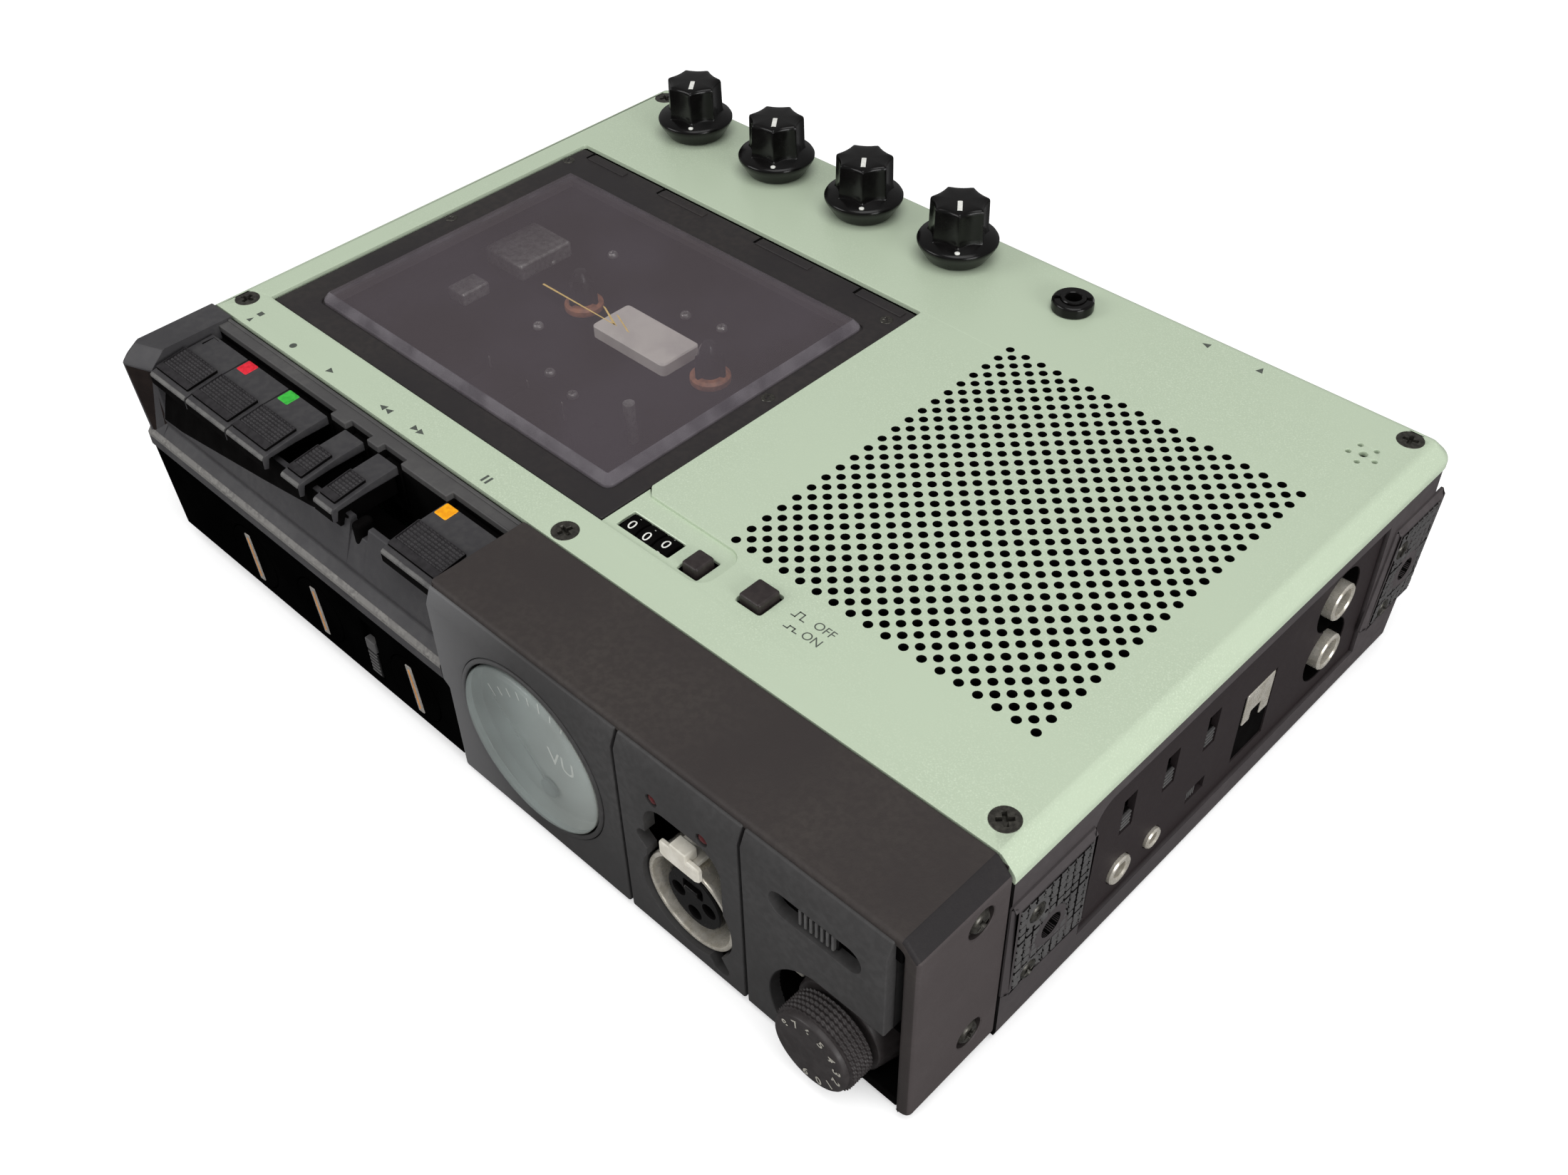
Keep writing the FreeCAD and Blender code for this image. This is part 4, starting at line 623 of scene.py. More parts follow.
def cover_sheet():
    """The green pan: a flat top, a slope between two soft creases, and an upright lip."""
    skin = Skin()
    outer = [(3.9, 50.0), (3.5, 49.96), (3.1, 49.82), (2.75, 49.55), (0.62, 47.42), (0.3, 47.02),
             (0.1, 46.6), (0.0, 46.1)]
    outer += [(0.0, LIP_BOTTOM + 0.2)]
    inner = [(0.25, LIP_BOTTOM), (SHEET - 0.2, LIP_BOTTOM), (SHEET, LIP_BOTTOM + 0.2), (SHEET, 46.1),
             (1.5, 46.8), (3.4, 48.7), (4.0, 48.9)]
    rows = []
    for inset, z in outer + inner:
        plan = pan_path(inset)
        rows.append(np.column_stack([plan, np.full(len(plan), z)]))
    rows = np.array(rows)
    skin.grid(rows)
    skin.flat([rows[:, 0]])
    skin.flat([rows[:, -1]])
    top, under = rows[0], rows[-1]
    front = np.array([[top[0], top[-1]], [under[0], under[-1]]])
    skin.grid(front)
    tops, feet = [top], [under]

    def cut(line, profile, wall_paint=0):
        """Opens both flats along an outline, grown by the first number of each profile pair."""
        wall = Skin.rings(*line, np.array(profile, float), "z", 1)
        skin.grid(wall, True, wall_paint)
        tops.append(wall[-1])
        feet.append(wall[0])

    def hole(line, soft, wall_paint=0):
        """A straight hole whose top edge widens by soft."""
        cut(line, [(0.0, TOP - SHEET), (0.0, TOP - soft), (soft * 0.3, TOP - soft * 0.3), (soft, TOP)],
            wall_paint)

    door = [(-104.3, -45.8, 0.6), (34.6, -45.9, 3.4), (34.6, -34.9, 3.4), (9.0, -34.6, 0.8),
            (7.0, -32.6, 0.8), (7.0, 47.5, 0.6), (-104.3, 47.5, 0.6)]
    hole(rounded(door, 6), 0.25)
    hole(rectangle(41.1, -44.1, 47.5, -37.5, 0.7), 0.2)
    hole(circle(*ECHO_JACK, 3.1, 40), 0.15)
    for x, y in COVER_SCREWS:
        cut(circle(x, y, 1.7, 32), [(0, TOP - SHEET), (0.0, TOP - SHEET + 0.1), (1.25, TOP)])
    x, y = MIC_HOLES
    hole(circle(x, y, 0.9, 20), 0.12)
    for i in range(5):
        a = math.radians(274 + 72 * i)
        hole(circle(x + 2.9 * math.cos(a), y + 2.9 * math.sin(a), 0.6, 16), 0.1)
    places, r = grille_holes()
    for x, y in places:
        hole(circle(x, y, r, 14), 0.1, 1)
    skin.flat(tops)
    skin.flat(feet)
    piece("cover_sheet", skin, [green_paint, dark_void], nodes=("top_cover",), angle=40)

    floor = Skin()
    recess = rounded([(7.0, -45.9, 0.05), (34.6, -45.9, 3.3), (34.6, -34.9, 3.3), (9.0, -34.6, 0.8),
                      (7.0, -33.0, 0.05)], 6)
    rim = [(0.0, 48.6), (0.0, 49.2), (0.15, 49.35)]
    windows = [(rectangle(9.6, -44.2, 23.8, -39.4, 0.3), rim, "through", 0),
               (rectangle(26.8, -44.9, 32.2, -38.7, 0.4), rim, "through", 0)]
    floor.slab(recess, [(0.0, 48.6), (0.0, 49.35)], holes=windows)
    piece("counter_recess", floor, green_paint)

    cloth = Skin()
    cloth.block((26, -36, 47.6), (104, 53, 48.2), 0.2)
    cloth.block((97.5, 63, 47.6), (107, 73, 48.2), 0.2)
    piece("grille_cloth", cloth, dark_void)


def cross_screw(skin, place, r, head, axis="z", turn=0.3, dish=False, paint=0):
    """A screw head: a disc with a rounded or domed edge and a cross sunk into its flat."""
    u, v, h = (place[k] for k in AXIS_ORDER[axis])
    cross = (plus(u, v, r * 0.56, r * 0.15, turn), [(-0.12, h - r * 0.42), (0.0, h - 0.05), (0.04, h)],
             "blind", paint)
    if dish:
        t = np.linspace(0, 1, 6)
        profile = [(0.0, h - head)] + [(r * 0.42 * a, h - head * (1 - a) ** 2) for a in t[1:]]
        skin.slab(circle(u, v, r, 40), [(0.0, h - head - 0.5)] + profile, axis, [cross], paint)
    else:
        skin.slab(circle(u, v, r, 40), [(r * 0.4, h - head), (0.05, h - 0.25), (0.0, h - 0.12),
                                        (0.12, h)], axis, [cross], paint)


def cover_screws():
    """The five countersunk screws that hold the cover."""
    skin = Skin()
    for i, (x, y) in enumerate(COVER_SCREWS):
        cross_screw(skin, (x, y, TOP - 0.05), 2.8, 1.1, "z", 0.35 + i)
    return skin


def echo_jack():
    """The threaded socket on the cover: a slotted ring nut, a collar and a dark bore."""
    skin = Skin()
    x, y = ECHO_JACK
    a = np.arange(72) * 2 * math.pi / 72
    heights = np.array([50.0, 50.3, 52.0, 52.4, 52.6])
    radii = np.array([4.5, 4.7, 4.7, 4.5, 4.2])
    notch = np.abs(np.sin(a - 0.6)) < 0.13
    rows = []
    for r, z in zip(radii, heights):
        drop = np.where(notch & (z > 51.4), 51.4, z)
        rows.append(np.stack([x + r * np.cos(a), y + r * np.sin(a), drop], -1))
    for r in (3.6, 3.0):
        drop = np.where(notch, 51.4, 52.6)
        rows.append(np.stack([x + r * np.cos(a), y + r * np.sin(a), drop], -1))
    skin.grid(np.array(rows), True, 0)
    skin.lathe([(2.85, 51.2), (2.85, 52.8), (2.7, 53.0), (2.0, 53.0), (1.8, 52.8), (1.8, 46.0)],
               (x, y, 0), "z", 48, 0)
    skin.lathe([(1.8, 46.0), (0.0, 46.0)], (x, y, 0), "z", 48, 1)
    piece("echo_socket", skin, [knob_black, dark_void], nodes=("echo_jack",))


def echo_knobs():
    """Four knobs: a lathe-turned skirt and a seven sided body.

    The body's radius in each seventh turn is that of a hollow side: D cos d - sqrt(R2 - D2 sin2 d),
    where d is the angle from the middle of the side, D 15.4 and R 9.5, held at 7.05 at the corners.
    """
    pointer = math.radians(-52)
    count = 140
    middle, hollow_radius, corner, softness = 15.4, 9.5, 7.05, 6
    a = pointer + np.arange(count) * 2 * math.pi / count
    seventh = 2 * math.pi / 7
    d = (a - pointer) % seventh - seventh / 2
    hollow = middle * np.cos(d) - np.sqrt(hollow_radius ** 2 - (middle * np.sin(d)) ** 2)
    side = -np.log(np.exp(-hollow * softness) + np.exp(-corner * softness)) / softness
    for i, x in enumerate(KNOBS_X):
        skin = Skin()
        z0 = TOP + 0.35
        skirt = [(3.9, z0 - 0.1), (7.0, z0), (7.3, z0 + 0.4), (8.9, z0 + 2.9), (9.35, z0 + 3.8),
                 (9.38, z0 + 4.3), (9.1, z0 + 4.75), (8.4, z0 + 5.0), (7.4, z0 + 5.35), (5.2, z0 + 6.0)]
        skin.lathe(skirt, (x, KNOBS_Y, 0), "z", 96)
        heights = [(1.10, 5.0), (1.045, 5.35), (1.015, 5.9), (1.0, 6.8), (0.985, 12.9), (0.975, 13.3),
                   (0.945, 13.65), (0.89, 13.85), (0.8, 13.95)]
        levels = [(s, z0 + h) for s, h in heights]
        levels += [(s, z0 + 13.98 + 0.1 * (1 - s)) for s in (0.6, 0.4, 0.2, 0.0)]
        rows = [np.stack([x + s * side * np.cos(a), KNOBS_Y + s * side * np.sin(a), np.full(count, z)], -1)
                for s, z in levels]
        skin.grid(np.array(rows), True)
        ray, across = direction(pointer)
        s, w = np.meshgrid(np.linspace(0.9, 5.0, 10), np.linspace(-0.55, 0.55, 5), indexing="ij")
        rise = 0.13 - 0.05 * (np.abs(w) / 0.55) ** 4
        plan = s[..., None] * ray + w[..., None] * across
        r = np.hypot(plan[..., 0], plan[..., 1])
        top = z0 + 13.96 + 0.1 * (1 - np.clip(r / 6, 0, 1))
        skin.grid(np.stack([x + plan[..., 0], KNOBS_Y + plan[..., 1], top + rise], -1), False, 1)
        skin.lathe([(0.62, 5.0), (0.6, 5.22), (0.35, 5.34), (0.0, 5.38)],
                   (x + 8.0 * ray[0], KNOBS_Y + 8.0 * ray[1], z0), "z", 20, 1)
        piece(f"echo_knob_{i + 1}", skin, [knob_black, white_print], f"echo_knob_{i + 1}",
              (f"top_knob_{i + 1}",), 50)


# Cassette door and what shows through it


def cassette_door():
    """The door frame with its window opening, hinge lugs and four small screws."""
    skin = Skin()
    window = rectangle(-96.0, -39.0, 1.4, 35.8, 2.0)
    hole = (window, [(-1.4, 47.4), (-1.4, 48.9), (0.0, 48.9), (0.0, 49.2), (0.2, 49.4)], "through", 0)
    skin.slab(rectangle(-103.8, -45.4, 6.6, 46.6, 0.8), [(0.1, 47.3)] + edge(0.4, 0.4, 47.4, 49.4),
              holes=[hole])
    for left, right in ((-99.0, -86.0), (-73.2, -57.7), (-40.1, -23.4), (-8.9, 4.5)):
        skin.block((left, 43.4, 49.2), (right, 45.4, 49.75), 0.25)
        skin.block((left - 0.9, 43.7, 49.2), (left - 0.2, 46.5, 49.5), 0.1, paint=1)
    piece("door_frame_moulding", skin, [door_plastic, dark_void], "door", ("cassette_door",))
    screws = Skin()
    for i, (x, y) in enumerate(((-102.1, 39.9), (-101.9, 2.9), (2.9, 40.7), (3.4, 3.2))):
        cross_screw(screws, (x, y, 49.55), 1.5, 0.3, "z", 0.5 + i)
    piece("door_screws", screws, screw_black, "door")

    block = Skin()
    line = rectangle(-95.6, -38.6, 1.0, 35.4, 1.9)
    block.slab(line, [(0.0, 48.95), (0.0, 49.6), (0.15, 49.9), (1.3, 51.3), (1.6, 51.5)],
               caps=(False, False), paint=1)
    for inset, height in ((0.0, 48.95), (1.6, 51.5)):
        block.flat([Skin.rings(*line, np.array([(inset, height)]), "z", -1)[0]], 0)
    piece("door_window_block", block, [smoke_clear, smoke_edge], "door", ("door_window",), 20)

    print_skin = Skin()
    for points in ARROW:
        print_skin.flat([np.array([(x, y, 51.52) for x, y in points])])
    piece("door_marks", print_skin, gold_print, "door", turn=False)


def tape_bay():
    """Hubs, reflector, heads and small fittings on the deck."""
    well = Skin()
    low, high = 36.5, 48.6
    well.slab(rectangle(-104.6, -46.6, 7.8, 48.2, 0.8), [(0.0, 35.2), (0.0, high)],
              holes=[(rectangle(-103.9, -45.9, 7.1, 47.5, 0.8), [(0.0, low), (0.0, high)], "blind", 0)])
    piece("tape_well", well, dark_void, nodes=("deck_plate",))
    for i, (x, body, node) in enumerate(((HUBS_X[0], "supply_reel", "supply_hub"),
                                         (HUBS_X[1], "takeup_reel", "takeup_hub"))):
        skin = Skin()
        skin.lathe([(0, 36.7), (4.6, 36.7), (4.7, 37.2), (4.6, 38.0), (3.8, 38.5), (0, 38.5)],
                   (x, HUB_Y, 0), "z", 48, 1)
        skin.lathe([(2.6, 38.3), (2.6, 43.6), (2.2, 45.0), (1.4, 46.5), (0, 46.8)], (x, HUB_Y, 0), "z", 40, 0)
        for k in range(3):
            ray, across = direction(math.radians(120 * k + 20))
            corners = [np.array([x, HUB_Y]) + r * ray + w * across
                       for r, w in ((1, -0.5), (3.7, -0.5), (3.7, 0.5), (1, 0.5))]
            skin.slab(rounded([(*c, 0.2) for c in corners], 3), [(0.0, 38.3), (0.0, 43.0), (0.3, 44.4)])
        piece(f"reel_hub_{i + 1}", skin, [knob_black, hub_brown], body, (node,))
    bright = Skin()
    bright.slab(rounded([(-55.0, 4.8, 1.2), (-31.0, 4.8, 1.2), (-31.0, 16.3, 1.2), (-55.0, 16.3, 1.2)]),
                [(0, 36.6), (0.0, 39.4), (0.3, 39.7)])
    piece("light_plate", bright, reflector_grey)
    heads = Skin()
    heads.block((-68, -34.5, 36.6), (-10, -18.0, 37.6), 0.3)
    for x in (-60.5, -47.5, -36.0):
        heads.block((x - 5, -33.0, 37.4), (x + 5, -22.5, 45.5), 0.8, corner=2.4)
        heads.block((x - 3.4, -23.2, 39.0), (x + 3.4, -22.0, 44.0), 0.4, paint=1)
    piece("head_row", heads, [dark_void, steel_grey], nodes=("tape_heads",))
    specks = Skin()
    for x, y in ((-76.0, 30.0), (-44.0, 24.0), (-34.0, 26.0), (-66.0, -2.0), (-50.0, -12.0),
                 (-40.0, -14.0), (-85.0, 18.0)):
        cross_screw(specks, (x, y, 38.4), 1.3, 0.6, "z", x, True)
    specks.block((-98.0, 8.0, 36.6), (-84.0, 24.0, 41.0), 0.8)
    specks.block((-92.0, -8.0, 36.6), (-86.0, 0.0, 40.0), 0.6)
    piece("deck_fittings", specks, steel_grey)


# Front: dark cover strip, three grey panels, meter, socket, level


def front_strip():
    """The dark strip and its side wall: one bent outline in x and z, carried along y with soft ends."""
    skin = Skin()
    corners = [(-3.2, 47.3, 0.3), (110.6, 47.3, 1.2), (110.6, 1.6, 0.3), (113.8, 1.6, 2.2),
               (113.8, 46.8, 1.0), (110.7, 50.0, 1.0), (-3.2, 50.0, 0.4)]
    line = rounded(corners, 8)
    depth = 0.9
    t = np.linspace(0, math.pi / 2, 5)
    front = list(zip(depth * (1 - np.sin(t)), -78.3 + depth * (1 - np.cos(t))))
    back = list(zip(depth * 0.5 * (1 - np.cos(t)), -56.0 - depth * 0.5 + depth * 0.5 * np.sin(t)))
    seats = [circle(y, z, 3.15, 40) for y, z in MODULE_SCREWS]
    loops = []
    for points, normals in seats:
        wall = Skin.rings(points, normals, np.array([(0.0, 112.6), (0.0, 113.6), (0.2, 113.8)]), "x", 1)
        skin.grid(wall, True)
        skin.flat([wall[0]])
        loops.append(wall[-1])
    # Nine points to a corner: the outer wall starts at the last point of the fourth corner.
    outer_wall = 4 * 9 - 1
    skin.slab(line, front + back, "y", window=(outer_wall, loops))

    def paint_of(middles):
        """The outer wall has paint 2, a lighter copy painted as light, the sloping corner above it 1, a
        darker copy painted as shade, and the rest 0.
        """
        x, z = middles[:, 0], middles[:, 2]
        return np.where(x > 113.3, 2, np.where((x > 110.2) & (x + z > 159.7), 1, 0))

    skin.repaint(paint_of)
    piece("front_strip_cover", skin, [strip_plastic, band_shade_plastic, wall_lit_plastic], nodes=("front_cover",))
    gap = Skin()
    gap.block((-2.8, -78.05, 44.0), (110.4, -77.2, 49.2), 0.1)
    for x in (47.8, 77.8):
        gap.block((x - 1.2, -79.0, 2.0), (x + 1.2, -77.7, 45.0), 0.1)
    gap.block((111.0, -56.1, 1.7), (113.84, -55.3, 45.0), 0.1)
    piece("panel_gaps", gap, dark_void)
    screws = Skin()
    for i, (y, z) in enumerate(MODULE_SCREWS):
        cross_screw(screws, (114.0, y, z), 2.6, 1.3, "x", 0.5 + i, True)
    for i, (y, z) in enumerate(LUG_SCREWS):
        cross_screw(screws, (115.3, y, z), 2.5, 1.4, "x", 0.9 + i, True)
    piece("side_screws", screws, screw_black, nodes=("case_screws",))


def bent_panel(outline, holes):
    """A front panel: its outline in x and z bends back above z = 45.4 by 1.5 for every 3.6 of height."""
    skin = Skin()
    points, normals = rounded(outline, 5)
    profile = np.array([(0.0, -77.6), (0.0, -79.75), (0.06, -79.95), (0.18, -80.07), (0.35, PANEL_FACE)])

    def bend(rows):
        """Moves what is above the bend back by 1.5 for every 3.6 of height."""
        rows = rows.copy()
        rows[..., 1] += np.clip(rows[..., 2] - PANEL_BEND, 0, None) * 1.5 / 3.6
        return rows

    rows = bend(Skin.rings(points, normals, profile, "y", -1))
    skin.grid(rows, True)
    face = rows[-1]
    low, high = face[face[:, 2] < PANEL_BEND + 0.01], face[face[:, 2] > PANEL_BEND - 0.01]
    loops = []
    for hole_points, hole_normals, deep, rim in holes:
        edges = np.array([(0, deep), (0.0, PANEL_FACE + rim), (rim * 0.3, PANEL_FACE + rim * 0.3),
                          (rim, PANEL_FACE)])
        wall = Skin.rings(hole_points, hole_normals, edges, "y", 1)
        skin.grid(wall, True)
        loops.append(wall[-1])
    skin.flat([low] + loops)
    skin.flat([high])
    return skin


def meter():
    """The meter's block, ring, dial, needle, scale and domed glass."""
    x, z = METER
    outline = [(-1.6, 1.6, 0.6), (47.4, 1.6, 0.6), (47.4, 45.4, 0.0), (47.4, 48.8, 0.4), (-3.2, 48.8, 0.4),
               (-3.2, 45.4, 0.0), (-3.2, 25.3, 0.2), (-1.6, 24.0, 0.2)]
    ring = circle(x, z, 19.9, 96)
    skin = bent_panel(outline, [(*ring, -78.0, 0.25)])
    piece("meter_block", skin, panel_plastic, nodes=("vu_block",), angle=28)
    trim = Skin()
    t = np.linspace(0, math.pi, 9)
    bead = [(19.3 + 0.5 * math.cos(a), 80.05 + 0.42 * math.sin(a)) for a in t]
    trim.lathe([(r, -h) for r, h in [(19.85, 78.2)] + bead + [(18.75, 78.0)]], (x, 0, z), "y", 96)
    piece("meter_trim_ring", trim, panel_plastic, turn=False)
    cup = Skin()
    cup.lathe([(18.75, -77.9), (18.5, -77.9), (18.4, -71.0), (0, -71.0)], (x, 0, z), "y", 96)
    piece("meter_cup", cup, dark_void, nodes=("meter_case",), turn=False)
    dial = Skin()
    dial.lathe([(18.4, -80.3), (18.3, -77.8), (17.9, -77.2), (17.3, -77.0), (0.0, -77.0)], (x, 0, z), "y", 96)
    piece("meter_dial", dial, dial_grey, turn=False)
    marks = Skin()
    base = np.array([x, NEEDLE_PIVOT_Z])
    for i in range(11):
        ray, across = direction(math.radians(NEEDLE_REST - 8.4 * i))
        r0, r1 = 20.4, 22.4 if i % 5 else 23.2
        corners = [base + r * ray + w * across for r, w in ((r0, -0.16), (r1, -0.16), (r1, 0.16), (r0, 0.16))]
        marks.flat([np.array([(c[0], -77.05, c[1]) for c in corners])])
    points, faces = lettering("VU", 5.8, 0, x + 4.4, z - 3.0, -77.06, "y")
    add_faces(marks, points, faces)
    piece("meter_marks", marks, white_print, turn=False)
    needle = Skin()
    ray, across = direction(math.radians(NEEDLE_REST))
    corners = [base + r * ray + w * across for r, w in ((0, -0.28), (21.5, -0.12), (21.5, 0.12), (0, 0.28))]
    needle.slab((np.array(corners), np.zeros((4, 2))), [(0, -77.6), (0, -77.4)], "y")
    needle.lathe([(2.2, -77.3), (2.2, -77.9), (1.6, -78.3), (0, -78.4)], (x, 0, NEEDLE_PIVOT_Z), "y", 32)
    piece("meter_pointer", needle, pointer_grey, "needle", ("meter_needle",))
    glass = Skin()
    rows = [(18.2, -79.3), (18.3, -79.6), (18.3, -80.35), (18.1, -80.75), (17.6, -81.02)]
    rows += [(17.6 * math.sqrt(1 - q * q), -81.02 - 1.05 * q) for q in np.linspace(0.06, 1, 18)]
    glass.lathe(rows, (x, 0, z), "y", 96)
    piece("meter_glass", glass, lens_clear, nodes=("meter_lens",), angle=50, turn=False)


def union_outline(centre, inside, count=300, reach=26.0):
    """Outline of joined shapes: each ray from the centre runs to the farthest point inside any of them."""
    a = np.arange(count) * 2 * math.pi / count
    ray = np.stack([np.cos(a), np.sin(a)], -1)
    t = np.linspace(0, reach, 1301)
    places = np.array(centre) + ray[:, None] * t[None, :, None]
    within = inside(places[..., 0], places[..., 1])
    far = t[within.shape[1] - 1 - np.argmax(within[:, ::-1], axis=1)]
    points = np.array(centre) + ray * far[:, None]
    along = np.roll(points, -1, axis=0) - np.roll(points, 1, axis=0)
    along /= np.linalg.norm(along, axis=1)[:, None]
    return points, np.stack([along[:, 1], -along[:, 0]], -1)


def socket_opening(u, v):
    """True inside the panel opening: a disc, a rounded block above it, a side slot and a foot notch."""
    x, z = XLR
    disc = np.hypot(u - x, v - z) < 11.2
    du, dv = np.abs(u - 63.6) - 3.9, np.abs(v - 26.4) - 5.0
    block = np.hypot(np.clip(du, 0, None), np.clip(dv, 0, None)) < 5.5
    slot = np.hypot(np.clip(np.abs(u - 54.6) - 0.6, 0, None), v - 26.4) < 2.0
    notch = np.hypot(u - 71.4, v - 5.2) < 2.1
    return disc | block | slot | notch


def microphone_panel():
    """The microphone panel with its shaped opening and two lamps, and the three hole socket and latch."""
    x, z = XLR
    outline = [(48.1, 1.6, 0.5), (77.5, 1.6, 0.5), (77.5, 45.4, 0), (77.5, 48.8, 0.4), (48.1, 48.8, 0.4),
               (48.1, 45.4, 0)]
    opening = union_outline((x, 18.0), socket_opening)
    holes = [(*opening, -77.6, 0.2)] + [(*circle(lx, LAMPS_Z, 1.35, 28), -77.6, 0.12) for lx in LAMPS_X]
    skin = bent_panel(outline, holes)
    piece("microphone_panel", skin, panel_plastic, nodes=("mic_panel",), angle=28)
    lamps = Skin()
    for lx in LAMPS_X:
        lamps.lathe([(1.3, -77.4), (1.28, -79.2), (1.1, -79.65), (0.7, -79.9), (0, -80.0)],
                    (lx, 0, LAMPS_Z), "y", 28)
    piece("lamp_lenses", lamps, lamp_red, nodes=("signal_lamps",), turn=False)
    deep = Skin()
    deep.slab(rectangle(49.5, 2.2, 76.5, 38.0, 0.5), [(0, -63.0), (0, -77.5)], "y",
              holes=[(rectangle(50.3, 2.8, 75.7, 37.6, 0.5), [(0, -64.5), (0, -77.5)], "blind", 0)])
    piece("socket_well", deep, dark_void)
    barrel = Skin()
    barrel.lathe([(10.8, -65.0), (10.8, -78.6), (10.6, -79.1), (10.2, -79.2), (9.8, -79.1), (9.7, -78.6),
                  (9.7, -66.5)], (x, 0, z), "y", 80)
    piece("socket_barrel", barrel, nickel, turn=False)
    insert = Skin()
    pin_wall = [(0, -70.0), (0, -78.0), (0.25, -78.3)]
    pins = [(circle(x + dx, z + dz, 1.45, 24), pin_wall, "blind", 1)
            for dx, dz in ((-3.8, 0), (0, -3.8), (3.8, 0))]
    key = (rectangle(x - 2.3, z + 1.6, x + 2.3, z + 4.2, 0.5), [(0, -74.0), (0, -78.0), (0.2, -78.3)],
           "blind", 1)
    insert.slab(circle(x, z, 6.8, 64), [(0, -66.0), (0, -77.8), (0.12, -78.1), (0.4, -78.3)], "y",
                holes=pins + [key])
    insert.block((x - 1.6, -78.9, z + 2.3), (x + 1.6, -76.0, z + 3.5), 0.2, "y")
    piece("socket_insert", insert, [knob_black, dark_void], nodes=("xlr_socket",))
    latch = Skin()
    tab = [(58.5, 27.2, 0.5), (59.6, 26.6, 0.5), (67.2, 26.6, 0.5), (68.3, 27.2, 0.5), (68.3, 30.6, 0.7),
           (58.5, 30.6, 0.7)]
    latch.slab(rounded(tab, 4), [(0.3, -79.7), (0.0, -79.9), (0.0, -80.5), (0.12, -80.68),
                                 (0.4, -80.75)], "y")
    latch.block((61.4, -80.9, 29.4), (65.4, -78.0, 32.2), 0.3, "y")
    latch.block((60.4, -79.9, 28.3), (66.4, -71.0, 29.4), 0.2, "y")
    piece("latch_tab", latch, latch_cream, "latch", ("xlr_latch",))


